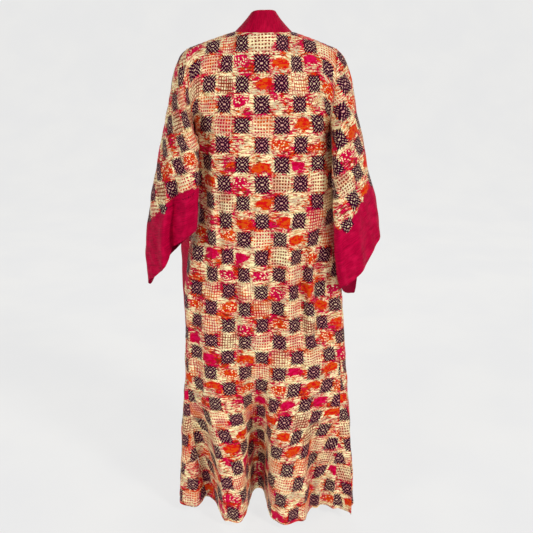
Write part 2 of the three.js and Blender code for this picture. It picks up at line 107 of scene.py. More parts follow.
BODY = table(
    "down left right left_y right_y back seam_left seam_right",
    (0.232, -0.176, 0.176, 0, 0, -0.1, 0, 1.00),
    (0.27, -0.174, 0.181, 0, 0, -0.102, 0, 1.00),
    (0.37, -0.169, 0.191, 0, 0, -0.102, 0, 1.00),
    (0.48, -0.174, 0.197, 0.004, 0.002, -0.1, 0, 1.00),
    (0.58, -0.201, 0.21, 0.008, 0.002, -0.097, 0, 0.99),
    (0.69, -0.216, 0.222, 0.01, 0, -0.092, 0.01, 0.96),
    (0.85, -0.22, 0.235, 0.01, -0.008, -0.08, 0.03, 0.88),
    (1.04, -0.232, 0.252, 0.01, -0.022, -0.06, 0.13, 0.83),
    (1.22, -0.246, 0.262, 0.01, -0.04, -0.04, 0.22, 0.8),
    (1.402, -0.257, 0.268, 0.01, -0.06, -0.028, 0.29, 0.77),
)
LEFT_EDGE = table(
    "down x y turn",
    (0.232, -0.118, 0.098, 74),
    (0.29, -0.131, 0.102, 70),
    (0.37, -0.158, 0.116, 50),
    (0.48, -0.196, 0.13, 14),
    (0.58, -0.214, 0.142, -28),
    (0.69, -0.22, 0.15, -28),
    (0.85, -0.222, 0.156, -24),
    (1.04, -0.225, 0.164, -12),
    (1.22, -0.228, 0.172, 0),
    (1.4, -0.23, 0.18, 8),
)
RIGHT_EDGE = table(
    "down x y turn",
    (0.232, 0.092, 0.099, 79),
    (0.29, 0.093, 0.102, 80),
    (0.37, 0.095, 0.112, 80),
    (0.48, 0.098, 0.126, 80),
    (0.69, 0.108, 0.146, 80),
    (1.04, 0.122, 0.166, 78),
    (1.4, 0.138, 0.186, 76),
)
EDGES = {LEFT: LEFT_EDGE, RIGHT: RIGHT_EDGE}

NEVER = np.inf
FOLD_NAMES = "start full start_at full_at half out fades squareness"
# The folds of the back: the solid's own, then the finer ones.
BACK_FOLDS = table(
    FOLD_NAMES,
    (0.79, 1.4, -0.216, -0.158, 0.034, -0.052, NEVER, 4),
    (0.86, 1.4, -0.136, -0.095, 0.053, 0.06, NEVER, 4),
    (0.78, 1.4, -0.018, -0.014, 0.031, -0.09, NEVER, 4),
    (0.8, 1.4, 0.076, 0.076, 0.06, 0.068, NEVER, 4),
    (0.93, 1.4, 0.2, 0.19, 0.02, -0.016, NEVER, 4),
    (0.24, 0.56, -0.108, -0.114, 0.013, -0.012, 0.9, 3),
    (0.38, 0.7, 0.026, 0.03, 0.019, -0.013, 1.02, 3),
    (0.34, 0.64, 0.098, 0.106, 0.017, -0.018, 1.000, 3),
    (0.44, 0.7, 0.15, 0.158, 0.015, -0.015, 0.98, 3),
    (0.16, 0.4, -0.142, -0.15, 0.018, -0.015, 0.9, 2),
    (0.3, 0.52, -0.128, -0.132, 0.011, 0.007, 0.88, 2),
    (0.28, 0.6, -0.068, -0.074, 0.02, -0.017, 1.06, 2),
    (0.5, 0.8, -0.172, -0.186, 0.016, -0.016, 1.1, 2),
    (0.38, 0.64, 0.064, 0.07, 0.015, 0.009, 0.96, 2),
    (0.26, 0.46, 0.138, 0.146, 0.013, -0.009, 0.76, 2),
    (0.46, 0.76, 0.127, 0.132, 0.012, 0.009, 0.98, 2),
    (0.52, 0.78, 0.182, 0.19, 0.016, -0.016, 1.14, 2),
    (0.3, 0.58, -0.028, -0.034, 0.015, -0.007, 0.96, 2),
    (0.5, 0.8, -0.048, -0.05, 0.014, 0.008, 1.06, 2),
    (0.86, 1.14, 0.108, 0.104, 0.014, -0.011, NEVER, 2),
    (0.94, 1.2, 0.158, 0.15, 0.012, -0.012, NEVER, 2),
    (1.000, 1.28, -0.112, -0.1, 0.013, -0.007, NEVER, 2),
    (1.02, 1.34, 0.034, 0.04, 0.015, -0.008, NEVER, 2),
    (1.1, 1.4, 0.12, 0.128, 0.011, 0.007, NEVER, 2),
    (1.05, 1.4, 0.222, 0.232, 0.012, -0.008, NEVER, 2),
)
# The folds of the fronts, placed from 0 at the side to 1 at the band.
LEFT_FOLDS = table(
    FOLD_NAMES,
    (0.62, 1.4, 0.62, 0.6, 0.13, 0.016, NEVER, 4),
    (0.56, 1.4, 0.86, 0.84, 0.1, -0.012, NEVER, 4),
    (0.42, 0.8, 0.3, 0.32, 0.05, -0.006, 1.15, 2),
    (0.76, 1.2, 0.18, 0.15, 0.045, -0.006, NEVER, 2),
    (0.9, 1.4, 0.44, 0.42, 0.04, 0.006, NEVER, 2),
)
RIGHT_FOLDS = table(
    FOLD_NAMES,
    (0.76, 1.4, 0.2, 0.2, 0.08, -0.015, NEVER, 4),
    (0.48, 1.4, 0.55, 0.52, 0.09, 0.02, NEVER, 4),
    (0.42, 1.4, 0.78, 0.74, 0.08, -0.018, NEVER, 4),
    (0.3, 0.62, 0.36, 0.4, 0.045, -0.006, 0.98, 2),
    (0.88, 1.3, 0.36, 0.34, 0.035, -0.008, NEVER, 2),
    (0.98, 1.4, 0.09, 0.08, 0.03, 0.007, NEVER, 2),
    (0.7, 1.2, 0.9, 0.91, 0.035, 0.006, NEVER, 2),
)
FRONT_FOLDS = {LEFT: LEFT_FOLDS, RIGHT: RIGHT_FOLDS}

# Short creases of the back: where the middle is, how long and wide, which way it runs in degrees
# from straight down, how far it stands out, and how much it bows.
CREASES = table(
    "x down length half angle out bow",
    (-0.136, 0.16, 0.07, 0.0075, 38, -0.0032, 1.5),
    (-0.15, 0.196, 0.05, 0.007, 46, 0.0026, 2.0),
    (-0.118, 0.222, 0.075, 0.008, 34, -0.0024, 1.2),
    (-0.146, 0.262, 0.045, 0.0065, 52, -0.0024, 2.0),
    (0.15, 0.17, 0.05, 0.007, -36, -0.0022, -1.5),
    (0.142, 0.214, 0.06, 0.0075, -42, 0.0022, -1.2),
    (-0.052, 0.118, 0.06, 0.011, 68, -0.0016, 1.0),
    (0.07, 0.126, 0.055, 0.011, -70, -0.0014, -1.0),
    (0.02, 0.33, 0.06, 0.012, 82, -0.0014, 0.5),
    (-0.15, 0.64, 0.045, 0.007, 60, -0.0026, 1.0),
    (0.176, 0.66, 0.05, 0.0075, -52, -0.003, -1.5),
    (0.168, 0.712, 0.055, 0.008, -48, 0.003, -1.5),
    (0.178, 0.79, 0.06, 0.008, -42, -0.0032, -1.0),
    (0.158, 1.085, 0.034, 0.0085, -66, 0.007, -4.0),
    (0.16, 1.107, 0.038, 0.008, -64, -0.0075, -4.0),
    (0.205, 1.128, 0.026, 0.0065, -50, 0.004, -2.0),
    (-0.176, 0.935, 0.05, 0.0075, 46, -0.003, 1.0),
    (-0.03, 0.7, 0.05, 0.012, 78, -0.0014, 0),
    (0.06, 0.93, 0.045, 0.01, -66, -0.0024, -1.0),
    (0.062, 1.19, 0.04, 0.009, -74, -0.0022, -1.0),
    (-0.1, 1.13, 0.045, 0.01, 72, -0.002, 1.0),
)

SLEEVE_NAMES = "at out_x out_down out_y in_x in_down in_y deep"
LEFT_SLEEVE = table(
    SLEEVE_NAMES,
    (0, -0.19, 0.042, 0, -0.176, 0.232, 0, 0.078),
    (0.07, -0.21, 0.062, -0.002, -0.174, 0.249, -0.03, 0.072),
    (0.16, -0.226, 0.102, -0.004, -0.163, 0.27, -0.074, 0.061),
    (0.35, -0.252, 0.222, -0.008, -0.162, 0.322, -0.082, 0.059),
    (0.55, -0.281, 0.345, -0.01, -0.164, 0.38, -0.086, 0.056),
    (0.75, -0.306, 0.462, -0.01, -0.166, 0.44, -0.086, 0.055),
    (0.9, -0.321, 0.572, -0.008, -0.17, 0.486, -0.08, 0.053),
    (1.00, -0.318, 0.672, -0.005, -0.174, 0.506, -0.074, 0.05),
)
RIGHT_SLEEVE = table(
    SLEEVE_NAMES,
    (0, 0.19, 0.042, 0, 0.176, 0.232, 0, 0.078),
    (0.07, 0.213, 0.066, -0.002, 0.179, 0.254, -0.024, 0.073),
    (0.16, 0.23, 0.112, -0.004, 0.18, 0.286, -0.064, 0.066),
    (0.35, 0.252, 0.222, -0.008, 0.183, 0.372, -0.082, 0.06),
    (0.55, 0.281, 0.345, -0.01, 0.188, 0.462, -0.086, 0.057),
    (0.75, 0.305, 0.43, -0.01, 0.195, 0.562, -0.084, 0.054),
    (0.9, 0.317, 0.488, -0.008, 0.206, 0.642, -0.076, 0.051),
    (1.00, 0.323, 0.528, -0.005, 0.213, 0.668, -0.066, 0.048),
)
SLEEVES = {LEFT: LEFT_SLEEVE, RIGHT: RIGHT_SLEEVE}
# About how long a sleeve is, for the rows of its hem
SLEEVE_LENGTH = 0.52
# The open end of each sleeve: how far it curves up, and its one step, as in the solids. At lip_at the
# back of the sleeve lifts a little and shows the inside of its front, which may hang lower there.
MOUTHS = {
    LEFT: {
        "rise": 0.004, "drop": -0.028, "around": 95, "run": -85, "back": -12,
        "lip": 0.009, "lip_at": 24, "hang": 0.017,
    },
    RIGHT: {
        "rise": -0.018, "drop": 0.078, "around": 260, "run": 66, "back": 16,
        "lip": 0.010, "lip_at": 150, "hang": 0.0,
    },
}
LIP_HALF = 16
# The way the grain of each sleeve runs over the back of the arm, in degrees from straight down.
GRAIN_TURN = {LEFT: 22, RIGHT: 36}
# The folds along a sleeve. around is in degrees from its outer edge, over the back of the arm.
SLEEVE_FOLD_NAMES = "start around half out squareness"
# The folds that both sleeves have, as in the solids
MAIN_SLEEVE_FOLDS = (
    (0.3, 105, 18, -0.009, 4),
    (0.5, 55, 15, -0.007, 4),
    (0.35, 230, 18, -0.008, 4),
    (0.55, 300, 16, -0.007, 4),
)
SLEEVE_FOLDS = {
    LEFT: table(
        SLEEVE_FOLD_NAMES,
        *MAIN_SLEEVE_FOLDS,
        (0.1, 93, 9, -0.021, 2),
        (0.3, 76, 10, 0.01, 2),
        (0.1, 124, 11, 0.008, 2),
        (0.35, 34, 8, -0.009, 2),
        (0.1, 150, 12, -0.015, 2),
        (0.4, 260, 9, -0.005, 2),
    ),
    RIGHT: table(
        SLEEVE_FOLD_NAMES,
        *MAIN_SLEEVE_FOLDS,
        (0.05, 128, 9, -0.012, 2),
        (0.3, 72, 10, -0.009, 2),
        (0.3, 92, 10, 0.008, 2),
        (0.25, 38, 8, -0.007, 2),
        (0.35, 262, 10, -0.005, 2),
    ),
}
# The way the band points from its seam, from 0 at the nape to 1 at the shoulder seam.
BAND_LEAN = table(
    "neck inward forward up",
    (0, 0, 0.33, 0.94),
    (0.4, 0.33, 0.25, 0.92),
    (0.75, 0.6, 0.3, 0.76),
    (1.00, 0.7, 0.35, 0.62),
)

# Where the crimson border of a sleeve begins, as a share of its length, by degrees around the arm
BORDERS = {
    LEFT: table("around at", (0, 0.80), (60, 0.74), (110, 0.61), (180, 0.55), (270, 0.68), (360, 0.80)),
    RIGHT: table("around at", (0, 0.66), (60, 0.63), (120, 0.65), (180, 0.57), (270, 0.62), (360, 0.66)),
}

# Sewing
SEAM_HALF = 0.004
SEAM_DEPTH = 0.0009
SLEEVE_SEAM_SHARE = 0.6
PUCKER_PITCH = 0.021
PUCKER_DRIFT = 1.7
PUCKER_DEPTH = 0.0005
PUCKER_REACH = 0.014
HEM_FOLD = 0.012
HEM_EXTRA = 0.0005
HEM_EDGE = 0.0015
HEM_ROWS = (0.0, 0.003, 0.007, 0.0105, 0.0125, 0.015)
# Between two pieces the fine form fades over this length, down to this share.
EDGE_FADE = 0.004
EDGE_SHARE = 0.35

# The ripples grow over these lengths from the top of a piece, and are shifted from piece to piece.
PANEL_RIPPLES_GROW = 0.12
PANEL_RIPPLES_AT_TOP = 0.2
FRONT_RIPPLES_SHIFT = 0.37
SLEEVE_RIPPLES_GROW = 0.05
SLEEVE_RIPPLES_SHIFT = 0.11
SLEEVE_TOP_KEPT = 0.01
RIPPLE_BEND = 0.35
RIPPLE_BEND_ACROSS = 2.3
RIPPLE_BEND_DOWN = 1.7

# The band is fuller in its middle, thin at its free edge, and waves a little along it.
BAND_PUFF = 0.0012
BAND_EDGE = 0.004
BAND_EDGE_SHARE = 0.35
BAND_WAVE = 0.0006
BAND_WAVE_PITCH = 0.083
BAND_WAVE_SWELL = 0.31

# Steeper edges than this many degrees stay sharp.
SHARP_ANGLE = 55
# A point this close to a cut, as a share of a step, is left out.
SLIVER = 0.2
# What a piece without a dyed border or a hem stores: far from either, in metres
NOT_DYED = -1.0
NO_HEM = 1.0


def column(rows, key, where, name):
    """A column's value at a place in a table, on a smooth curve through the rows."""
    keys, values = rows[key], rows[name]
    last = len(keys) - 1
    row = np.searchsorted(keys[1:-1], where, side="left")
    before = np.maximum(row - 1, 0)
    after = np.minimum(row + 2, last)
    span = keys[row + 1] - keys[row]
    t = np.clip((where - keys[row]) / span, 0, 1)
    slope_a = (values[row + 1] - values[before]) / (keys[row + 1] - keys[before]) * span
    slope_b = (values[after] - values[row]) / (keys[after] - keys[row]) * span
    return (
        (2 * t**3 - 3 * t**2 + 1) * values[row]
        + (t**3 - 2 * t**2 + t) * slope_a
        + (3 * t**2 - 2 * t**3) * values[row + 1]
        + (t**3 - t**2) * slope_b
    )


def smooth(value):
    t = np.clip(value, 0, 1)
    return t * t * (3 - 2 * t)


def lerp(a, b, t):
    return a + (b - a) * t


def row_at(rows, key, where):
    """All the other columns of a table at a place in it."""
    return {name: column(rows, key, where, name) for name in rows if name != key}


def hump(distance, half, squareness=2):
    """1 at a distance of 0 and near 0 past half. A squareness above 2 gives it a flatter top."""
    return np.exp(-((np.abs(distance) / half) ** squareness))


def stand_out(folds, places, middles, growth):
    """How far a table's folds stand out at each of the places."""
    apart = places[:, None] - middles[None, :]
    shape = hump(apart, folds["half"][None, :], folds["squareness"][None, :])
    return (folds["out"] * growth * shape).sum(axis=1)


def folds_at(folds, down, places, move_with_growth):
    """How far a table's folds stand out at a level, at each of the places."""
    rise = smooth((down - folds["start"]) / (folds["full"] - folds["start"]))
    fade = smooth((down - folds["full"]) / (folds["fades"] - folds["full"]))
    growth = rise * (1 - fade)
    moved = growth if move_with_growth else rise
    return stand_out(folds, places, lerp(folds["start_at"], folds["full_at"], moved), growth)


def back_curve(down):
    """The body's back at a level, from left to right: x, y and how far its folds stand out."""
    at = row_at(BODY, "down", down)
    middle = (at["left"] + at["right"]) / 2
    half = (at["right"] - at["left"]) / 2
    t = np.linspace(0, 1, CURVE_SAMPLES + 1)
    c = -np.cos(np.pi * t)
    s = np.sin(np.pi * t)
    x = middle + half * np.sign(c) * np.abs(c) ** SIDE_ROUNDNESS
    side = lerp(at["left_y"], at["right_y"], t)
    y = side + (at["back"] - side) * np.maximum(s, 0) ** BACK_ROUNDNESS
    out = folds_at(BACK_FOLDS, down, x, False)
    y = y - out * np.minimum(1, s * FOLDS_END_AT_SIDES)
    return np.stack([x, y, out], axis=1)


def edge_way(side, down):
    """The direction in which a front's cloth points at its edge, in plan."""
    turn = math.radians(column(EDGES[side], "down", down, "turn"))
    return np.array([-side * math.sin(turn), math.cos(turn)])


def front_curve(side, down):
    """A front at a level, from the side to its edge."""
    edges = EDGES[side]
    name = "left" if side == LEFT else "right"
    start = np.array([column(BODY, "down", down, name), column(BODY, "down", down, name + "_y")])
    end = np.array([column(edges, "down", down, "x"), column(edges, "down", down, "y")])
    way = edge_way(side, down)
    reach = np.linalg.norm(end - start)
    leave = start + np.array([0, reach * FRONT_LEAVES])
    arrive = end - way * reach * FRONT_ARRIVES
    t = np.linspace(0, 1, FRONT_SAMPLES + 1)[:, None]
    u = 1 - t
    point = u**3 * start + 3 * u * u * t * leave + 3 * u * t * t * arrive + t**3 * end
    slope = 3 * u * u * (leave - start) + 6 * u * t * (arrive - leave) + 3 * t * t * (end - arrive)
    slope /= np.linalg.norm(slope, axis=1)[:, None]
    out = folds_at(FRONT_FOLDS[side], down, t[:, 0], True)
    x = point[:, 0] - slope[:, 1] * out * side
    y = point[:, 1] + slope[:, 0] * out * side
    return np.stack([x, y, out], axis=1)


def even_steps(points, steps, start_trim, end_trim):
    """A run of points cut to even steps, leaving a bare length at each end."""
    lengths = np.concatenate([[0], np.cumsum(np.linalg.norm(np.diff(points[:, :2], axis=0), axis=1))])
    goals = np.linspace(start_trim, lengths[-1] - end_trim, steps + 1)
    return np.stack([np.interp(goals, lengths, points[:, k]) for k in range(3)], axis=1), goals


def cut(points, start, end):
    """A run of points from one place along it to another, each from 0 to 1."""
    last = len(points) - 1
    places = np.arange(last + 1) / last
    inside = (places > start + SLIVER / last) & (places < end - SLIVER / last)
    goals = np.concatenate([[start], places[inside], [end]])
    return np.stack([np.interp(goals, places, points[:, k]) for k in range(3)], axis=1)


def ring_panels(down):
    """The ring of the body at a level, in three panels: points, and the length run across each."""
    back = back_curve(down)
    left = front_curve(LEFT, down)[::-1]
    right = front_curve(RIGHT, down)
    first = max(0.0, float(column(BODY, "down", down, "seam_left")))
    last = min(1.0, float(column(BODY, "down", down, "seam_right")))
    half = SEAM_GAP / 2
    left_part = [left] if first == 0 else [left, cut(back, 0, first)[1:]]
    right_part = [right] if last == 1 else [cut(back, last, 1)[:-1], right]
    return {
        "back": even_steps(cut(back, first, last), BACK_ACROSS, half, half),
        "left": even_steps(np.concatenate(left_part), FRONT_ACROSS, 0, half),
        "right": even_steps(np.concatenate(right_part), FRONT_ACROSS, half, 0),
    }


def shoulder_seam(side, t, behind):
    """The shoulder seam, from the shoulder point at 0 to the side of the neck at 1."""
    x = side * lerp(SHOULDER_HALF, NECK_HALF_WIDTH, t) + NECK_ASIDE * t
    y = lerp(0, -NECK_SIDE_FORWARD, t) + (-1 if behind else 1) * SEAM_GAP / 2
    z = -SHOULDER_DROP * (1 - t) ** SHOULDER_ROUNDNESS
    return np.stack([x, y, z], axis=-1)


def neckline(t):
    """The back neckline, from -1 at the left neck point, past 0 at the nape, to 1."""
    angle = t * np.pi / 2
    x = NECK_ASIDE + NECK_HALF_WIDTH * np.sin(angle)
    y = -NECK_SIDE_FORWARD - SEAM_GAP / 2 - (NAPE_BACK - NECK_SIDE_FORWARD) * np.cos(angle)
    return np.stack([x, y, np.zeros_like(x)], axis=-1)


def back_top():
    """The top edge of the back: left shoulder seam, neckline, right shoulder seam."""
    u = np.linspace(0, 1, BACK_ACROSS + 1)
    f = SHOULDER_FRACTION
    left = shoulder_seam(LEFT, np.clip(u / f, 0, 1), True)
    right = shoulder_seam(RIGHT, np.clip((1 - u) / f, 0, 1), True)
    neck = neckline(np.clip((u - 0.5) / (0.5 - f), -1, 1))
    return np.where((u < f)[:, None], left, np.where((u > 1 - f)[:, None], right, neck))


def upper_row(top, ring, behind, angle):
    """A row of a panel above the underarm, from its top edge over the shoulder to the first ring."""
    fall = (1 - math.cos(angle)) / 2
    turn = math.sqrt(1 - (1 - fall) ** 2)
    full = column(BODY, "down", UNDERARM_DOWN, "back")
    side_share = np.clip(1 - np.abs(ring[:, 1] / full), 0, 1)
    near_edge = side_share ** (1 + BULGE_DRAWS_IN * fall**4)
    bulge = ARMHOLE_HALF_DEPTH * math.sin(angle) * near_edge * (-1 if behind else 1)
    row = np.stack(
        [
            lerp(top[:, 0], ring[:, 0], fall),
            lerp(top[:, 1], ring[:, 1], turn) + bulge,
            lerp(top[:, 2], -UNDERARM_DOWN, fall),
        ],
        axis=1,
    )
    strength = math.sin(angle) ** 2
    for _ in range(round(EASINGS * (len(row) / EASED_COLUMNS) ** 2)):
        mean = (row[:-2] + row[2:]) / 2
        row[1:-1] = lerp(row[1:-1], mean, strength / 2)
    return row


def lower_levels():
    """The levels of the rows below the underarm, closer together in the hem."""
    hem = BODY_LENGTH - np.array(HEM_ROWS)[::-1]
    return np.concatenate([np.linspace(UNDERARM_DOWN, hem[0], LOWER_ROWS - len(hem) + 1)[:-1], hem])


def panel(name, top):
    """A body panel: its points, and where each lies on the flat cloth, across and down."""
    first, first_across = ring_panels(UNDERARM_DOWN)[name]
    rows = [upper_row(top, first, name == "back", math.pi * r / ARM_ROWS) for r in range(ARM_ROWS)]
    across = [first_across] * ARM_ROWS
    down = []
    for level in lower_levels():
        ring, run = ring_panels(level)[name]
        share = smooth((level - HEM_DIP_FROM) / (BODY_LENGTH - HEM_DIP_FROM))
        z = -level - ring[:, 2] * HEM_DIP_PER_FOLD * share
        rows.append(np.stack([ring[:, 0], ring[:, 1], z], axis=1))
        across.append(run)
        down.append(np.full(len(run), level))
    points = np.array(rows)
    across = np.array(across)
    across = across - centre_run(name, points, across)[:, None]
    upper = points[: ARM_ROWS + 1]
    steps = np.linalg.norm(np.diff(upper, axis=0), axis=2)
    above = UNDERARM_DOWN - np.cumsum(steps[::-1], axis=0)[::-1]
    return points, across, np.concatenate([above, np.array(down)])


def centre_run(name, points, across):
    """How far along each row the cloth's straight grain begins: mid back, or a front's band edge."""
    if name == "back":
        return np.array([np.interp(0, row[:, 0], run) for row, run in zip(monotone(points), across)])
    return across[:, 0] if name == "left" else across[:, -1]


def monotone(points):
    """The same rows with x made to grow steadily, so that the middle can be found in each."""
    grown = points.copy()
    grown[:, :, 0] = np.maximum.accumulate(points[:, :, 0], axis=1)
    return grown


def sleeve(side):
    """A sleeve: rings of points from the armhole to the open end, each starting at the underarm seam,
    and at each point the run down the sleeve, past the border's edge and up from the hem."""
    folds = SLEEVE_FOLDS[side]
    mouth = MOUTHS[side]
    hem = 1 - np.array(HEM_ROWS)[::-1] / SLEEVE_LENGTH
    ats = np.concatenate([np.linspace(0, hem[0], SLEEVE_ALONG - len(hem) + 1)[:-1], hem])
    degrees = (180 + np.linspace(0, 360, 2 * ARM_ROWS + 1)) % 360
    angle = np.radians(degrees)
    cos, sin = np.cos(angle), np.sin(angle)
    reached = np.clip(1 - (mouth["around"] - degrees) / mouth["run"], 0, 1)
    step = mouth["drop"] * reached * (1 - smooth((degrees - mouth["around"]) / mouth["back"]))
    lip = mouth["lip"] * hump(degrees - mouth["lip_at"], LIP_HALF)
    lip -= mouth["hang"] * hump(degrees + mouth["lip_at"] - 360, LIP_HALF)
    points = []
    for at in ats:
        value = row_at(SLEEVES[side], "at", at)
        outer = np.array([value["out_x"], value["out_y"], -value["out_down"]])
        inner = np.array([value["in_x"], value["in_y"], -value["in_down"]])
        middle, arm = (outer + inner) / 2, (outer - inner) / 2
        clear = (1 - at) ** SEAM_NEARNESS
        growth = smooth((at - folds["start"]) / (1 - folds["start"]))
        deep = value["deep"] + stand_out(folds, degrees, folds["around"], growth)
        under = (1 - cos) / 2
        edge = (mouth["rise"] * sin**2 - step + lip) * at**MOUTH_NEARNESS
        x = middle[0] + arm[0] * cos + side * clear * (SEAM_GAP + SILK * under)
        y = middle[1] + arm[1] * cos - deep * sin
        points.append(np.stack([x, y, middle[2] + arm[2] * cos + edge], axis=1))
    points = np.array(points)
    along = np.linalg.norm(np.diff(points, axis=0), axis=2)
    down = np.concatenate([np.zeros((1, len(degrees))), np.cumsum(along, axis=0)])
    border_at = column(BORDERS[side], "around", degrees, "at")
    border = (ats[:, None] - border_at[None, :]) * down[-1][None, :]
    return points, down, border, down[-1][None, :] - down


def sleeve_grain(side, points):
    """Where each point of a sleeve lies on its flat cloth, across and along the grain. The cloth
    folds over at the outer edge, so the grain of the front half is turned over about that edge."""
    turn = math.radians(GRAIN_TURN[side])
    grain = np.array([math.sin(turn), 0, -math.cos(turn)])
    weft = np.array([math.cos(turn), 0, math.sin(turn)])
    outer = points[:, ARM_ROWS]
    fold = (outer[-1] - outer[0]) / np.linalg.norm(outer[-1] - outer[0])
    turned = 2 * (grain @ fold) * fold - grain
    across = np.zeros(points.shape[:2])
    down = np.zeros(points.shape[:2])
    halves = ((points[:, ARM_ROWS:], grain, -side), (points[:, ARM_ROWS::-1], turned, side))
    for half, (run, way, sign) in enumerate(halves):
        step = np.diff(run, axis=1)
        lengthwise = step @ way
        aside = np.sqrt(np.maximum((step**2).sum(axis=2) - lengthwise**2, 0))
        u = np.concatenate([np.zeros((len(run), 1)), np.cumsum(aside, axis=1)], axis=1) * sign
        u += (outer @ weft)[:, None]
        v = (outer @ grain)[:, None] + (run - outer[:, None]) @ way
        if half == 0:
            across[:, ARM_ROWS:], down[:, ARM_ROWS:] = u, v
        else:
            across[:, ARM_ROWS::-1], down[:, ARM_ROWS::-1] = u, v
    return across, down


def band_way(side, down):
    """The way the band points along a front edge: it stands at the neck and lies flat below."""
    neck = row_at(BAND_LEAN, "neck", 1.0)
    way = edge_way(side, max(down, UNDERARM_DOWN))
    flat = smooth(down / BAND_LIES_FLAT_DOWN)
    lean = np.array(
        [
            lerp(-side * neck["inward"], way[0], flat),
            lerp(neck["forward"], way[1], flat),
            lerp(neck["up"], 0, flat),
        ]
    )
    return lean / np.linalg.norm(lean)


def band(left_seam, right_seam):
    """The band: steps from the left front's hem, over the neck, to the right front's hem."""
    reach = np.linspace(0, 1, BAND_ACROSS + 1)[:, None]

    def step(seam, way, gap):
        return seam + way * (gap + (BAND_WIDTH - gap) * reach)

    def front_step(side, seam):
        gap = lerp(-BAND_TUCK, SEAM_GAP, smooth(-seam[2] / BAND_LIES_FLAT_DOWN))
        return step(seam, band_way(side, -seam[2]), gap)

    steps = [front_step(LEFT, seam) for seam in left_seam[::-1]]
    for i in range(1, BAND_NECK_STEPS):
        t = -1 + 2 * i / BAND_NECK_STEPS
        lean = row_at(BAND_LEAN, "neck", abs(t))
        aside = BAND_SWAY * (1 - abs(t)) - math.copysign(lean["inward"], t)
        way = np.array([aside, lean["forward"], lean["up"]])
        steps.append(step(neckline(np.array(t)), way / np.linalg.norm(way), -BAND_TUCK))
    steps += [front_step(RIGHT, seam) for seam in right_seam]
    return np.array(steps)


def normals_of(points, closed=False):
    """The unit normal at each point of a grid."""
    if closed:
        ring = np.concatenate([points[:, -2:-1], points, points[:, 1:2]], axis=1)
        across = ring[:, 2:] - ring[:, :-2]
    else:
        across = np.gradient(points, axis=1)
    along = np.gradient(points, axis=0)
    normals = np.cross(across, along)
    return normals / np.maximum(np.linalg.norm(normals, axis=2), 1e-12)[:, :, None]


def moved(points, amount, closed=False):
    """A grid moved along its normals."""
    return points + normals_of(points, closed) * amount[:, :, None]


# One row for each wave of the soft unevenness of the silk: how many waves per metre across and
# down, its shift in turns, and its height
RIPPLES = table(
    "across down shift height",
    (7.3, 1.9, 0.1, 0.0009),
    (11.9, -2.7, 0.37, 0.0007),
    (4.1, 5.3, 0.71, 0.0008),
    (17.7, 3.1, 0.23, 0.0005),
    (23.9, -4.3, 0.55, 0.00035),
    (9.1, 9.7, 0.83, 0.0005),
    (31.3, 6.1, 0.43, 0.0002),
    (13.3, -14.9, 0.05, 0.0003),
)


def ripples(across, down):
    """The soft unevenness of the silk at a place on the flat cloth."""
    across, down = across[..., None], down[..., None]
    turns = across * RIPPLES["across"] + down * RIPPLES["down"] + RIPPLES["shift"]
    bend = RIPPLE_BEND * np.sin(2 * np.pi * (down * RIPPLE_BEND_DOWN + across * RIPPLE_BEND_ACROSS))
    return (RIPPLES["height"] * np.sin(2 * np.pi * (turns + bend))).sum(axis=-1)


def creases(points, down):
    """The short creases of the back."""
    total = np.zeros(down.shape)
    for k in range(len(CREASES["x"])):
        row = {name: CREASES[name][k] for name in CREASES}
        angle = math.radians(row["angle"])
        dx = points[:, :, 0] - row["x"]
        dz = down - row["down"]
        along = dz * math.cos(angle) + dx * math.sin(angle)
        off = dx * math.cos(angle) - dz * math.sin(angle) - row["bow"] * along**2
        total += row["out"] * hump(along, row["length"]) * hump(off, row["half"])
    return total


def seam_dent(distance, run):
    """A seam's groove and the small puckers beside it, at a distance from it and along its run."""
    turns = run / PUCKER_PITCH
    puckers = PUCKER_DEPTH * np.sin(2 * np.pi * turns + PUCKER_DRIFT * np.sin(turns))
    return puckers * hump(distance, PUCKER_REACH) - SEAM_DEPTH * hump(distance, SEAM_HALF)


def edge_distance(across, last):
    """How far each point is from its row's last point, or else from its first."""
    return across[:, -1][:, None] - across if last else across - across[:, 0][:, None]


def sew(normals_a, normals_b):
    """Turns two runs of normals, one on each side of a seam, to the same line."""
    sign = np.where((normals_a * normals_b).sum(axis=-1, keepdims=True) < 0, -1.0, 1.0)
    mean = normals_a + normals_b * sign
    mean /= np.linalg.norm(mean, axis=-1, keepdims=True)
    normals_a[:] = mean
    normals_b[:] = mean * sign


def sew_shoulder(points, normals, columns):
    """Turns the normals along a shoulder seam square to the seam."""
    row = points[0][columns]
    along = (row[-1] - row[0]) / np.linalg.norm(row[-1] - row[0])
    upward = np.array([-along[2], 0, along[0]])
    sign = np.sign((normals[0][columns] * upward).sum(axis=1))
    normals[0][columns] = sign[:, None] * upward


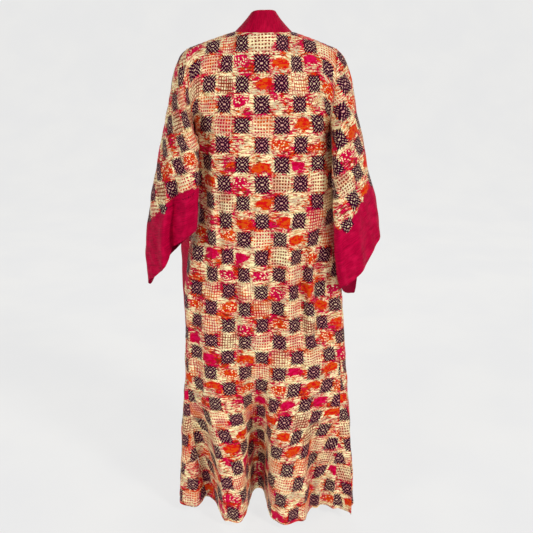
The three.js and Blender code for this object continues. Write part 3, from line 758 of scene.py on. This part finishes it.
def shell(name, points, normals, thickness, flat, border, hem, closed=False):
    """A closed thin shell around a grid of points, with its flat cloth, across and down, as a UV map
    in metres. border and hem are the distances past the dyed border's edge and up from the hem. The
    last column of a closed grid is its first once more."""
    tall, wide = thickness.shape
    used = wide - 1 if closed else wide
    half = thickness[:, :, None] / 2
    layers = [points + normals * half, points - normals * half]
    if signed_side(points, normals) < 0:
        layers.reverse()
    vertices = np.concatenate([layer[:, :used].reshape(-1, 3) for layer in layers])
    faces = []
    places = []

    def add(*corners):
        """Adds faces, each of their corners given as its layer, row and column."""
        faces.append(np.stack([(layer * tall + j) * used + i % used for layer, j, i in corners], axis=1))
        places.append(np.stack([j * wide + i for _, j, i in corners], axis=1))

    rows, cols = np.arange(tall - 1), np.arange(wide - 1)
    j, i = (index.ravel() for index in np.meshgrid(rows, cols, indexing="ij"))
    corners = [(j, i), (j, i + 1), (j + 1, i + 1), (j + 1, i)]
    add(*[(0, *corner) for corner in corners])
    add(*[(1, *corner) for corner in corners[::-1]])
    rims = [((0, cols), (0, cols + 1)), ((tall - 1, cols + 1), (tall - 1, cols))]
    if not closed:
        rims += [((rows + 1, 0), (rows, 0)), ((rows, wide - 1), (rows + 1, wide - 1))]
    for start, end in rims:
        add((0, *end), (0, *start), (1, *start), (1, *end))
    mesh = bpy.data.meshes.new(name)
    mesh.from_pydata(vertices.tolist(), [], np.concatenate(faces).tolist())
    uv = mesh.uv_layers.new(name="cloth")
    corner_flat = np.stack([part.ravel() for part in flat], axis=1)[np.concatenate(places).ravel()]
    uv.data.foreach_set("uv", corner_flat.astype(np.float32).ravel())
    for key, value in (("border", border), ("hem", hem)):
        store(mesh, key, [np.broadcast_to(value, (tall, wide))[:, :used]] * 2)
    store(mesh, "inside", [np.zeros((tall, used)), np.ones((tall, used))])
    mesh.validate()
    mesh.shade_smooth()
    mesh.set_sharp_from_angle(angle=math.radians(SHARP_ANGLE))
    if volume(mesh) < 0:
        mesh.flip_normals()
    return add_object(name, mesh)


def store(mesh, name, layers):
    """Keeps a named number for each point of the outer and the inner layer."""
    numbers = mesh.attributes.new(name, "FLOAT", "POINT")
    numbers.data.foreach_set("value", np.stack(layers).astype(np.float32).ravel())


def signed_side(points, normals):
    """Above 0 where the normals point away from the hollow's middle."""
    middle = points.reshape(-1, 3).mean(axis=0)
    middle[1] = max(middle[1], 0.0)
    return ((points - middle) * normals).sum()


def outward_sign(points, closed=False):
    """1 where a grid's own normals point away from the hollow, or else -1."""
    return 1 if signed_side(points, normals_of(points, closed)) > 0 else -1


def volume(mesh):
    """The volume that a mesh holds, below 0 where its faces point in."""
    co = np.empty(len(mesh.vertices) * 3, np.float32)
    mesh.vertices.foreach_get("co", co)
    co = co.reshape(-1, 3).astype(float)
    mesh.calc_loop_triangles()
    tri = np.empty(len(mesh.loop_triangles) * 3, np.int32)
    mesh.loop_triangles.foreach_get("vertices", tri)
    a, b, c = (co[tri.reshape(-1, 3)[:, k]] for k in range(3))
    return float((a * np.cross(b, c)).sum() / 6)


def hem_extra(distance):
    """How much thicker the cloth is where it is turned up at the hem."""
    return HEM_EXTRA * smooth((HEM_FOLD - distance) / HEM_EDGE + 0.5)


# Shader nodes, written as sums
def node(tree, kind, inputs, output=0, **settings):
    """Adds a node with these settings and inputs, and gives one of its outputs."""
    added = tree.nodes.new("ShaderNode" + kind)
    for name, value in settings.items():
        setattr(added, name, value)
    for name, value in inputs.items():
        if isinstance(value, Num):
            tree.links.new(value.socket, added.inputs[name])
        else:
            added.inputs[name].default_value = value
    return Num(tree, added.outputs[output])


def sum_of(kind):
    """One kind of sum, as a method of Num that makes its node."""

    def method(self, *others):
        return node(self.tree, "Math", dict(enumerate((self,) + others)), operation=kind)

    return method


class Num:
    """A number, place or colour in a node tree. Numbers take part in sums."""

    def __init__(self, tree, socket):
        self.tree = tree
        self.socket = socket

    __add__ = sum_of("ADD")
    __sub__ = sum_of("SUBTRACT")
    __mul__ = sum_of("MULTIPLY")
    __truediv__ = sum_of("DIVIDE")
    power = sum_of("POWER")
    abs = sum_of("ABSOLUTE")
    floor = sum_of("FLOOR")
    fract = sum_of("FRACT")
    sin = sum_of("SINE")
    max = sum_of("MAXIMUM")

    def step(self, low, high):
        """0 below low, 1 above high, smooth between. low above high turns it round."""
        inputs = {"Value": self, "From Min": min(low, high), "From Max": max(low, high)}
        inputs.update({"To Min": float(low > high), "To Max": float(low <= high)})
        return node(self.tree, "MapRange", inputs, interpolation_type="SMOOTHSTEP")


def vector(x, y, z=0.0):
    return node(x.tree, "CombineXYZ", {"X": x, "Y": y, "Z": z})


def noise(where, scale, detail, roughness):
    inputs = {"Vector": where, "Scale": scale, "Detail": detail, "Roughness": roughness}
    return node(where.tree, "TexNoise", inputs, "Fac", noise_dimensions="3D")


def chance(col, row, kind):
    """An even random number, 0 to 1, for each whole place. Each kind has numbers of its own."""
    place = vector(col, row, kind)
    return node(col.tree, "TexWhiteNoise", {"Vector": place}, "Value", noise_dimensions="3D")


def cells(x, y, scale):
    """How far each place is from the middle of its cell, of cells strewn at random."""
    return node(x.tree, "TexVoronoi", {"Vector": vector(x, y), "Scale": scale}, "Distance")


def blend(share, below, above):
    """The colour above laid over the colour below by a share."""
    inputs = {"Factor": share, "A": below, "B": above}
    return node(share.tree, "Mix", inputs, "Result", data_type="RGBA", clamp_factor=True)


def attribute(tree, name):
    return node(tree, "Attribute", {}, "Fac", attribute_name=name)


def wave(place, pitch, shift=0.0):
    """A sine wave of this pitch along a place. shift is in radians."""
    return (place * (2 * math.pi / pitch) + shift).sin()


def linear(red, green, blue):
    """A colour given as it looks on a screen, 0 to 255, for the shader."""
    return tuple((c / 255) ** 2.2 for c in (red, green, blue)) + (1.0,)


def grey(value):
    return (value, value, value, 1.0)


GROUND = linear(250, 238, 186)
TAN = linear(196, 166, 106)
WASH = linear(188, 170, 138)
AUBERGINE = linear(40, 2, 30)
PLUM = linear(74, 6, 50)
SPECK = linear(236, 160, 150)
ORANGE = linear(206, 78, 20)
RUST = linear(126, 40, 24)
RED = linear(202, 22, 24)
CRIMSON = linear(180, 4, 50)
MAGENTA = linear(204, 18, 76)
SLEEVE_CRIMSON = linear(186, 0, 60)
BAND_CRIMSON = linear(176, 0, 52)
# The reverse of the crimson border, dull and darkened: painted shade for the inside of the sleeves.
SHADED_DULL_CRIMSON = linear(104, 0, 34)

# The uneven patterns of the cloth: how fast each changes across and down, for each millimetre of flat
# cloth, how far it is shifted on each axis, its detail and its roughness.
PATTERNS = {
    "wobble_u": (0.011, 0.011, 0.0, 0.0, 2.0, 0.5),
    "wobble_v": (0.011, 0.011, 40.0, 0.0, 2.0, 0.5),
    "fray": (0.11, 0.16, 0.0, 0.0, 3.0, 0.65),
    "fine": (0.3, 0.3, 0.0, 17.0, 2.0, 0.6),
    "crowd": (0.017, 0.022, 0.0, 5.0, 2.0, 0.5),
    "hue": (0.024, 0.03, 7.0, 0.0, 2.0, 0.6),
    "brushed": (0.035, 0.24, 0.0, 0.0, 3.0, 0.65),
    "wash": (0.014, 0.04, 9.0, 0.0, 3.0, 0.6),
    "level": (0.044, 0.24, 0.0, 3.0, 4.0, 0.65),
    "slanting": (0.13, 0.17, 0.0, 0.0, 4.0, 0.65),
    "thin": (0.07, 0.3, 3.0, 0.0, 2.0, 0.5),
    "rust": (0.06, 0.16, 31.0, 0.0, 3.0, 0.6),
    "torn": (0.05, 0.09, 51.0, 0.0, 3.0, 0.7),
    "lump": (0.075, 0.12, 19.0, 0.0, 3.0, 0.65),
    "dotted": (0.05, 0.05, 0.0, 21.0, 1.0, 0.5),
    "blot": (0.05, 0.05, 0.0, 2.0, 3.0, 0.6),
    "drip": (0.3, 0.3, 0.0, 0.0, 2.0, 0.5),
    "dye": (0.03, 0.55, 0.0, 0.0, 3.0, 0.65),
    "cloud": (0.035, 0.05, 4.0, 0.0, 3.0, 0.6),
    "gloss": (0.1, 0.4, 0.0, 0.0, 2.0, 0.5),
    "weft": (0.03, 1.6, 0.0, 0.0, 2.0, 0.6),
    "warp": (1.6, 0.03, 0.0, 8.0, 2.0, 0.6),
}


def pattern(u, v, name):
    """One of the uneven patterns, mostly between 0.3 and 0.7."""
    across, down, shift_u, shift_v, detail, roughness = PATTERNS[name]
    return noise(vector(u * across + shift_u, v * down + shift_v), 1.0, detail, roughness)


def swing(u, v, name):
    """One of the uneven patterns, above and below 0."""
    return pattern(u, v, name) - 0.5


# The block print, in millimetres of flat cloth
COLUMN = 50.0
REPEAT = 100.0
FIRST_BLOCK = 72.0
BLOCK_HALF_WIDE = 18.0
BLOCK_HALF_TALL = 20.0
BLOCK_MIDDLE_HALF_WIDE = 3.8
BLOCK_MIDDLE_HALF_TALL = 2.6
DASH = 8.4
BROKEN = DASH * 1.5
TICK_WIDE = 7.4
TICK_TALL = 8.4
TICK_SHIFT = 9.0
NET_HALF = 25.0
NET_HALF_INSIDE = 22.0
PATCH_HALF_WIDE = 27.0
PATCH_HALF_TALL = 15.0
# Gaps whose luck is above the first hold a net, and those below the second hold a patch.
NETS_ABOVE = 0.7
PATCHES_BELOW = 0.54
WOBBLE = 14.0
MILLIMETRES = 1000.0
# How much the slanting strokes lean: the share of v that is added to u, and of u to v
SLANT_U = 0.07 / 0.13
SLANT_V = -0.08 / 0.17
# The layers under the blocks, from the lowest: pattern, how much more of it there is in crowded areas,
# where it begins and where it is full, and how much it covers.
LAYERS = (
    ("brushed", 0.0, 0.45, 0.6, 0.85),
    ("wash", 0.0, 0.5, 0.64, 0.8),
    ("level", 0.7, 0.52, 0.545, 1.0),
    ("slanting", 0.45, 0.55, 0.575, 1.0),
    ("thin", -0.3, 0.6, 0.64, 0.9),
    ("rust", 0.3, 0.57, 0.6, 0.9),
)


def cloth_place(tree):
    """Across and down the flat cloth, in millimetres."""
    place = node(tree, "UVMap", {}, uv_map="cloth")
    return [node(tree, "SeparateXYZ", {"Vector": place}, axis) * MILLIMETRES for axis in ("X", "Y")]


def print_layout(u, v):
    """The print at each place: the offset x, y from the nearest dark block, and gap_y from the middle
    of the gap between two blocks. luck and gap_luck, gap_turn are random numbers for each of those."""
    wobble_u = swing(u, v, "wobble_u")
    wobble_v = swing(u, v, "wobble_v")
    u = u + wobble_u * WOBBLE
    v = v + wobble_v * WOBBLE
    col = (u / COLUMN + 0.5).floor()
    odd = (col * 0.5).fract() * 2.0
    raised = v + odd * (REPEAT / 2) - FIRST_BLOCK
    row = (raised / REPEAT + 0.5).floor()
    gap_row = (raised / REPEAT).floor()
    return SimpleNamespace(
        u=u,
        v=v,
        x=u - col * COLUMN,
        y=raised - row * REPEAT,
        gap_y=raised - (gap_row + 0.5) * REPEAT,
        col=col,
        gap_row=gap_row,
        luck=chance(col, row, 3.0),
        gap_luck=chance(col, gap_row, 11.0),
        gap_turn=chance(col, gap_row, 23.0),
        fray=swing(u, v, "fray"),
        fine=swing(u, v, "fine"),
        crowd=swing(u, v, "crowd"),
    )


def loose_work(at, hue, warm):
    """The ground, its brush marks and grey wash, and the loose strokes, level and slanting."""
    slanting = blend(hue.step(0.5, 0.54), MAGENTA, RED)
    inks = {"brushed": TAN, "wash": WASH, "level": warm, "slanting": slanting, "thin": warm, "rust": RUST}
    colour = GROUND
    for name, crowding, begins, full, cover in LAYERS:
        slant = name == "slanting"
        u = at.u + at.v * SLANT_U if slant else at.u
        v = at.v + at.u * SLANT_V if slant else at.v
        height = pattern(u, v, name) + at.crowd * crowding
        colour = blend(height.step(begins, full) * cover, colour, inks[name])
    return colour


def nets(at, colour, warm):
    """Nets of small ticks or lines in some gaps."""
    tick_x = wave(at.u + at.gap_turn * TICK_SHIFT, TICK_WIDE) + at.fine * 1.6
    tick_y = wave(at.v + at.gap_luck * TICK_SHIFT, TICK_TALL) + at.fray * 1.6
    faint = at.crowd * 1.6 + at.fray * 1.4
    ticks = (tick_x + faint).step(-0.7, -0.2) * (tick_y + faint).step(-0.5, 0.0)
    lines = (tick_x.max(tick_y) + faint).step(0.3, 0.6)
    lined = chance(at.col, at.gap_row, 41.0).step(0.45, 0.55)
    net = at.gap_luck.step(NETS_ABOVE - 0.02, NETS_ABOVE)
    net = net * (at.gap_y.abs() + at.fray * 50.0).step(NET_HALF, NET_HALF_INSIDE)
    net = net * (at.x.abs() + at.fray * 40.0).step(NET_HALF, NET_HALF_INSIDE)
    colour = blend(net * 0.45, colour, GROUND)
    ink = blend(at.gap_turn.step(0.3, 0.6), warm, RUST)
    return blend((ticks + (lines - ticks) * lined) * net, colour, ink)


def patches(at, colour):
    """Ragged patches beside the blocks, orange or pink, some of them netted."""
    torn = swing(at.u, at.v, "torn")
    side_x = (at.x + (at.gap_turn - 0.5) * 24.0 + at.fray * 30.0).abs() / PATCH_HALF_WIDE
    side_y = (at.gap_y + (at.gap_luck - 0.26) * 40.0 + torn * 30.0).abs() / PATCH_HALF_TALL
    patch = (side_x.power(2.0) + side_y.power(2.0) + torn * 3.4 + at.fine * 1.2).step(1.0, 0.85)
    patch = patch * at.gap_luck.step(PATCHES_BELOW + 0.02, PATCHES_BELOW)
    pink = at.gap_turn.step(0.6, 0.64)
    lump = pattern(at.u, at.v, "lump").step(0.47, 0.54)
    ink = blend(lump, blend(pink, ORANGE, MAGENTA), blend(pink, RED, CRIMSON))
    colour = blend(patch, colour, ink)
    holes = cells(at.u, at.v * 1.15, 0.155).step(0.36, 0.28)
    netted = chance(at.col, at.gap_row, 31.0).step(0.5, 0.52)
    return blend(patch * holes * netted * 0.85, colour, GROUND)


def dots(at, colour):
    """Crimson dots in some areas."""
    dot = cells(at.u, at.v * 1.1, 0.09).step(0.26, 0.2)
    few = pattern(at.u, at.v, "dotted").step(0.5, 0.56)
    return blend(dot * few * 0.9, colour, CRIMSON)


def dark_blocks(at, colour):
    """The dark blocks, hatched in four mirrored quarters of short slanting dashes."""
    ax, ay = at.x.abs(), at.y.abs()
    dash = wave(ax - ay, DASH)
    broken = wave(ax + ay * 1.1, BROKEN, 0.9)
    reach = (ax / BLOCK_HALF_WIDE).max(ay / BLOCK_HALF_TALL)
    block = (reach + dash * 0.13 + at.fine * 0.24).step(1.03, 0.99)
    light = (dash * 0.9 + broken * 0.35 + at.fine * 1.8).step(0.72, 0.9)
    middle = (ax / BLOCK_MIDDLE_HALF_WIDE).max(ay / BLOCK_MIDDLE_HALF_TALL).step(1.0, 0.7)
    dark = blend(at.fine.step(-0.12, 0.2), AUBERGINE, PLUM)
    specks = blend(at.luck * 0.7, SPECK, GROUND)
    return blend(block, colour, blend(light.max(middle) * 0.74, dark, specks)), block


def block_print(u, v):
    """A staggered block print, with orange and red work. Its colour, and where its dark blocks are."""
    at = print_layout(u, v)
    # The red work changes from crimson to orange over broad areas.
    hue = pattern(at.u, at.v, "hue") + at.fray * 0.12
    warm = blend(hue.step(0.44, 0.52), CRIMSON, RED)
    warm = blend(hue.step(0.52, 0.58), warm, ORANGE)
    colour = loose_work(at, hue, warm)
    colour = nets(at, colour, warm)
    colour = patches(at, colour)
    colour = dots(at, colour)
    return dark_blocks(at, colour)


# Cloth surfaces
SILK_GLOSS = {"Specular IOR Level": 0.03, "Sheen Weight": 0.01, "Sheen Roughness": 0.4}
BUMP_DISTANCE = 0.0005
# Dye: its darkest share, and its brightest in red and blue, with a little green
DYE_DEEP = 0.52
DYE_BRIGHT_RED = 1.2
DYE_BRIGHT_GREEN = 0.004
DYE_BRIGHT_BLUE = 1.4
# The sleeves' crimson border, in millimetres: how far its edge strays, and how far it keeps off a block
BORDER_STRAYS = 42.0
BORDER_FRAYS = 9.0
BORDER_CLEARS_BLOCK = 16.0
BORDER_SOFT = 3.0
# Sewing on the hem, in millimetres
STITCH_LINE = 10.5
STITCH_PITCH = 3.2
STITCH_DEPTH = 1.6


def weave_bump(u, v, pitch, slub):
    """The height of the weave: a fine twill, with thicker threads here and there."""
    twill = wave(u + v, pitch)
    rib = wave(u - v * 0.35, pitch * 0.7)
    thread = pattern(u, v, "weft")
    warp = pattern(u, v, "warp")
    return twill * 0.12 + rib * 0.06 + thread * slub + warp * (slub * 0.5)


def stitch_dent(u, v, hem):
    """Small stitches along a line that lies at a distance from the hem, as a height."""
    across_line = (hem * MILLIMETRES - STITCH_LINE).abs().step(0.7, 0.3)
    dash = wave(u + v * 0.3, STITCH_PITCH).step(-0.2, 0.2)
    return across_line * (dash * 0.7 + 0.3) * STITCH_DEPTH


def new_material(name):
    material = bpy.data.materials.new(name)
    material.use_nodes = True
    material.node_tree.nodes.clear()
    return material, material.node_tree


def finish(tree, looks):
    """The material's shader, with these looks on its sockets."""
    output = tree.nodes.new("ShaderNodeOutputMaterial")
    tree.links.new(node(tree, "BsdfPrincipled", looks).socket, output.inputs[0])


def finish_silk(tree, colour, roughness, height, strength):
    bump = node(tree, "Bump", {"Strength": strength, "Distance": BUMP_DISTANCE, "Height": height})
    looks = {"Base Color": colour, "Roughness": roughness, "Normal": bump}
    finish(tree, {**looks, **SILK_GLOSS})


def crimson_cloth(u, v, base):
    """Plain dyed silk with uneven dye along its threads."""
    deep = tuple(c * DYE_DEEP for c in base[:3]) + (1.0,)
    bright = (base[0] * DYE_BRIGHT_RED, base[1] + DYE_BRIGHT_GREEN, base[2] * DYE_BRIGHT_BLUE, 1.0)
    colour = blend(pattern(u, v, "dye").step(0.35, 0.64), deep, base)
    return blend(pattern(u, v, "cloud").step(0.42, 0.72) * 0.6, colour, bright)


def printed_silk():
    material, tree = new_material("printed_silk")
    u, v = cloth_place(tree)
    colour, block = block_print(u, v)
    # The sleeve ends are dyed crimson up to a ragged line that steps round the blocks.
    border = attribute(tree, "border") * MILLIMETRES
    strays = swing(u, v, "blot") * BORDER_STRAYS
    frays = swing(u, v, "drip") * BORDER_FRAYS
    dyed = (border + strays + frays - block * BORDER_CLEARS_BLOCK).step(-BORDER_SOFT, BORDER_SOFT)
    colour = blend(dyed, colour, crimson_cloth(u, v, SLEEVE_CRIMSON))
    # The reverse of the cloth is duller, and its crimson is made much darker still: painted shade for the
    # insides of the sleeves and hem.
    inside = attribute(tree, "inside")
    faded_and_shaded = blend(inside * (dyed * 0.5 + 0.28), colour, blend(dyed, WASH, SHADED_DULL_CRIMSON))
    roughness = pattern(u, v, "gloss") * 0.16 + 0.42 + inside * 0.12
    height = weave_bump(u, v, pitch=1.1, slub=0.9) - stitch_dent(u, v, attribute(tree, "hem"))
    finish_silk(tree, faded_and_shaded, roughness, height, strength=0.55)
    return material


def crimson_silk():
    material, tree = new_material("crimson_silk")
    u, v = cloth_place(tree)
    colour = crimson_cloth(u, v, BAND_CRIMSON)
    roughness = pattern(u, v, "gloss") * 0.18 + 0.44
    height = weave_bump(u, v, pitch=1.3, slub=1.5)
    finish_silk(tree, colour, roughness, height, strength=0.7)
    return material


# Behind the robe the floor shines of itself, so that it stays one even pale grey as in a studio
# shot. It fades out before the floor on the other side, which lights the back less for it.
FLOOR_GLOW = 0.735
GLOW_STARTS = -4.0
GLOW_FULL = -0.25
FLOOR_GREY = 0.42
GLOWING_FLOOR_GREY = 0.09


def floor_material():
    material, tree = new_material("pale_floor")
    place = node(tree, "NewGeometry", {}, "Position")
    grain = noise(place, 3.0, 2.0, 0.5).step(0.3, 0.7)
    behind = node(tree, "SeparateXYZ", {"Vector": place}, "Y").step(GLOW_STARTS, GLOW_FULL)
    plain = blend(behind, grey(FLOOR_GREY), grey(GLOWING_FLOOR_GREY))
    looks = {"Base Color": blend(grain * 0.03, plain, GROUND), "Roughness": 0.9, "Specular IOR Level": 0.1}
    finish(tree, {**looks, "Emission Color": grey(1.0), "Emission Strength": behind * FLOOR_GLOW})
    return material


# The lights: where each is, what it aims at, how wide it is and its power in watts
LIGHTS = {
    "key": ((4.4, -4.5, 3.55), (0.0, 0.0, -0.75), 1.4, 385),
    "fill": ((-5.0, -4.6, 1.6), (0.0, 0.0, -0.6), 2.4, 190),
    "low": ((0.2, -2.6, -1.0), (0.0, 0.0, -1.0), 1.0, 7),
    "front": ((0.3, 3.0, 2.0), (0.0, 0.0, -0.6), 2.0, 40),
}
WORLD_LIGHT = 0.24


def add_object(name, data):
    made = bpy.data.objects.new(name, data)
    bpy.context.scene.collection.objects.link(made)
    return made


def make_lights():
    scene = bpy.context.scene
    scene.world = bpy.data.worlds.new("studio")
    scene.world.use_nodes = True
    back = scene.world.node_tree.nodes["Background"]
    back.inputs["Color"].default_value = grey(1.0)
    back.inputs["Strength"].default_value = WORLD_LIGHT
    for name, (place, aim, size, power) in LIGHTS.items():
        light = bpy.data.lights.new(name, "AREA")
        light.shape = "DISK"
        light.size = size
        light.energy = power
        lamp = add_object(name, light)
        lamp.location = place
        lamp.rotation_euler = (Vector(aim) - Vector(place)).to_track_quat("-Z", "Y").to_euler()
    scene.view_settings.view_transform = "Standard"
    scene.view_settings.look = "None"


# Camera: behind the robe and a little above its nape, looking down on it
CAMERA_PLACE = (0.012, -2.040, 0.055)
CAMERA_DOWN = 18.5
CAMERA_NEAR = 0.05
CAMERA_FAR = 60.0
SENSOR = 36.0
FOCAL_PIXELS = 771.0
PHOTO_PIXELS = 533.0


def make_camera():
    camera = bpy.data.cameras.new("camera")
    camera.sensor_fit = "HORIZONTAL"
    camera.sensor_width = SENSOR
    camera.lens = SENSOR * FOCAL_PIXELS / PHOTO_PIXELS
    camera.clip_start = CAMERA_NEAR
    camera.clip_end = CAMERA_FAR
    holder = add_object("camera", camera)
    holder.location = CAMERA_PLACE
    holder.rotation_euler = (math.radians(90 - CAMERA_DOWN), 0.0, 0.0)
    bpy.context.scene.camera = holder


# Stage: a floor just under the hem, which the robe hangs clear of, rising far behind into a wall
FLOOR_Z = -1.432
FLOOR_HALF = 9.0
BEND_START = 3.2
FLOOR_ROWS = (-6.0, -2.0, 0.0, BEND_START)
BEND_RADIUS = 2.6
BEND_STEPS = 16
WALL_TOP = 6.0


def make_stage():
    profile = [(y, FLOOR_Z) for y in FLOOR_ROWS]
    for k in range(1, BEND_STEPS + 1):
        turn = math.pi / 2 * k / BEND_STEPS
        y = BEND_START + BEND_RADIUS * math.sin(turn)
        profile.append((y, FLOOR_Z + BEND_RADIUS * (1 - math.cos(turn))))
    profile.append((BEND_START + BEND_RADIUS, WALL_TOP))
    vertices = []
    for y, z in profile:
        vertices += [(-FLOOR_HALF, y, z), (FLOOR_HALF, y, z)]
    faces = [(2 * k, 2 * k + 1, 2 * k + 3, 2 * k + 2) for k in range(len(profile) - 1)]
    mesh = bpy.data.meshes.new("floor")
    mesh.from_pydata(vertices, [], faces)
    mesh.shade_smooth()
    mesh.materials.append(floor_material())
    add_object("floor", mesh)


def make_body():
    """The back and the two fronts, with their ripples, seams and creases: for each, its points, their
    places across and down the flat cloth, and their distance from the hem."""
    t = np.linspace(0, 1, FRONT_ACROSS + 1)
    tops = {
        "back": back_top(),
        "left": shoulder_seam(LEFT, 1 - t, False),
        "right": shoulder_seam(RIGHT, t, False),
    }
    sewn_edges = {"back": (False, True), "left": (True,), "right": (False,)}
    formed = {}
    for name, top in tops.items():
        points, across, down = panel(name, top)
        shift = 0.0 if name == "back" else FRONT_RIPPLES_SHIFT
        amount = ripples(across + shift, down)
        amount = amount * smooth(down / PANEL_RIPPLES_GROW + PANEL_RIPPLES_AT_TOP)
        for last in sewn_edges[name]:
            amount = amount + seam_dent(edge_distance(across, last), down)
        amount = amount + seam_dent(np.linalg.norm(points - points[0], axis=2), across)
        if name == "back":
            amount = amount + creases(points, down)
        inner = [smooth(edge_distance(across, last) / EDGE_FADE) for last in (False, True)]
        amount = amount * outward_sign(points) * lerp(EDGE_SHARE, 1, inner[0] * inner[1])
        formed[name] = (moved(points, amount), across, down, BODY_LENGTH - down)
    return formed


def make_sleeves():
    """The two sleeves, with their ripples: for each, its points, and their distances past the border's
    edge and from the hem."""
    formed = {}
    for side in (LEFT, RIGHT):
        points, down, border, hem = sleeve(side)
        across = sleeve_grain(side, points)[0]
        amount = ripples(across + SLEEVE_RIPPLES_SHIFT * side, down) * smooth(down / SLEEVE_RIPPLES_GROW)
        amount = amount + seam_dent(down, across) * SLEEVE_SEAM_SHARE
        amount = amount * outward_sign(points, closed=True) * smooth(down / SLEEVE_TOP_KEPT)
        formed[side] = (moved(points, amount, closed=True), border, hem)
    return formed


def sewn_normals(formed, sleeves):
    """The normals of all the pieces, turned to one line at each seam that they share."""
    normals = {name: normals_of(grid[0]) for name, grid in formed.items()}
    for side, grid in sleeves.items():
        normals[side] = normals_of(grid[0], closed=True)
    shoulder = int(BACK_ACROSS * SHOULDER_FRACTION)
    sew_shoulder(formed["back"][0], normals["back"], slice(0, shoulder + 1))
    sew_shoulder(formed["back"][0], normals["back"], slice(BACK_ACROSS - shoulder, BACK_ACROSS + 1))
    for name in ("left", "right"):
        sew_shoulder(formed[name][0], normals[name], slice(0, FRONT_ACROSS + 1))
    sew(normals["back"][ARM_ROWS:, 0], normals["left"][ARM_ROWS:, -1])
    sew(normals["back"][ARM_ROWS:, -1], normals["right"][ARM_ROWS:, 0])
    rows = np.arange(ARM_ROWS)
    for side, back_col, front, front_col in ((LEFT, 0, "left", -1), (RIGHT, -1, "right", 0)):
        ring = normals[side][0]
        for picked, body, col in ((ARM_ROWS + rows, "back", back_col), (ARM_ROWS - rows, front, front_col)):
            a = normals[body][rows, col]
            b = ring[picked]
            sew(a, b)
            normals[body][rows, col] = a
            ring[picked] = b
        ring[-1] = ring[0]
    return normals


def make_band(left_seam, right_seam):
    strip = band(left_seam, right_seam)
    run = np.concatenate([[0], np.cumsum(np.linalg.norm(np.diff(strip[:, 0], axis=0), axis=1))])
    across, down = np.meshgrid(np.linspace(0, BAND_WIDTH, BAND_ACROSS + 1), run)
    puff = BAND_PUFF * np.sqrt(np.sin(np.pi * across / BAND_WIDTH))
    puff = puff * smooth((BAND_WIDTH - across) / BAND_EDGE + BAND_EDGE_SHARE)
    waves = np.sin(2 * np.pi * down / BAND_WAVE_PITCH) * np.sin(2 * np.pi * down / BAND_WAVE_SWELL + 1)
    normals = normals_of(strip)
    strip = strip + normals * (BAND_WAVE * waves * across / BAND_WIDTH)[:, :, None]
    return shell("cloth_band", strip, normals, BAND_CLOTH + puff, (across, down), NOT_DYED, NO_HEM)


def make_pieces():
    """All the pieces, by the names of the solids that they stand for."""
    formed = make_body()
    sleeves = make_sleeves()
    normals = sewn_normals(formed, sleeves)
    made = {}
    for name, node in (("back", "back"), ("left", "front_left"), ("right", "front_right")):
        points, across, down, hem = formed[name]
        thickness = SILK + hem_extra(hem)
        made[node] = shell(
            "cloth_" + node, points, normals[name], thickness, (across, down), NOT_DYED, hem
        )
    for side, node in ((LEFT, "sleeve_left"), (RIGHT, "sleeve_right")):
        points, border, hem = sleeves[side]
        thickness = SILK + hem_extra(hem)
        flat = sleeve_grain(side, points)
        made[node] = shell(
            "cloth_" + node, points, normals[side], thickness, flat, border, hem, closed=True
        )
    made["band"] = make_band(formed["left"][0][:, 0], formed["right"][0][:, -1])
    return made


def declare(made):
    """Gives each piece its material and its body, and hides the solid that it stands for."""
    materials = {"printed_silk": printed_silk(), "crimson_silk": crimson_silk()}
    for name, piece in made.items():
        slot = "crimson_silk" if name == "band" else "printed_silk"
        piece.data.materials.append(materials[slot])
        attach(piece, "root")
        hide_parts(name)


make_camera()
make_stage()
make_lights()
declare(make_pieces())
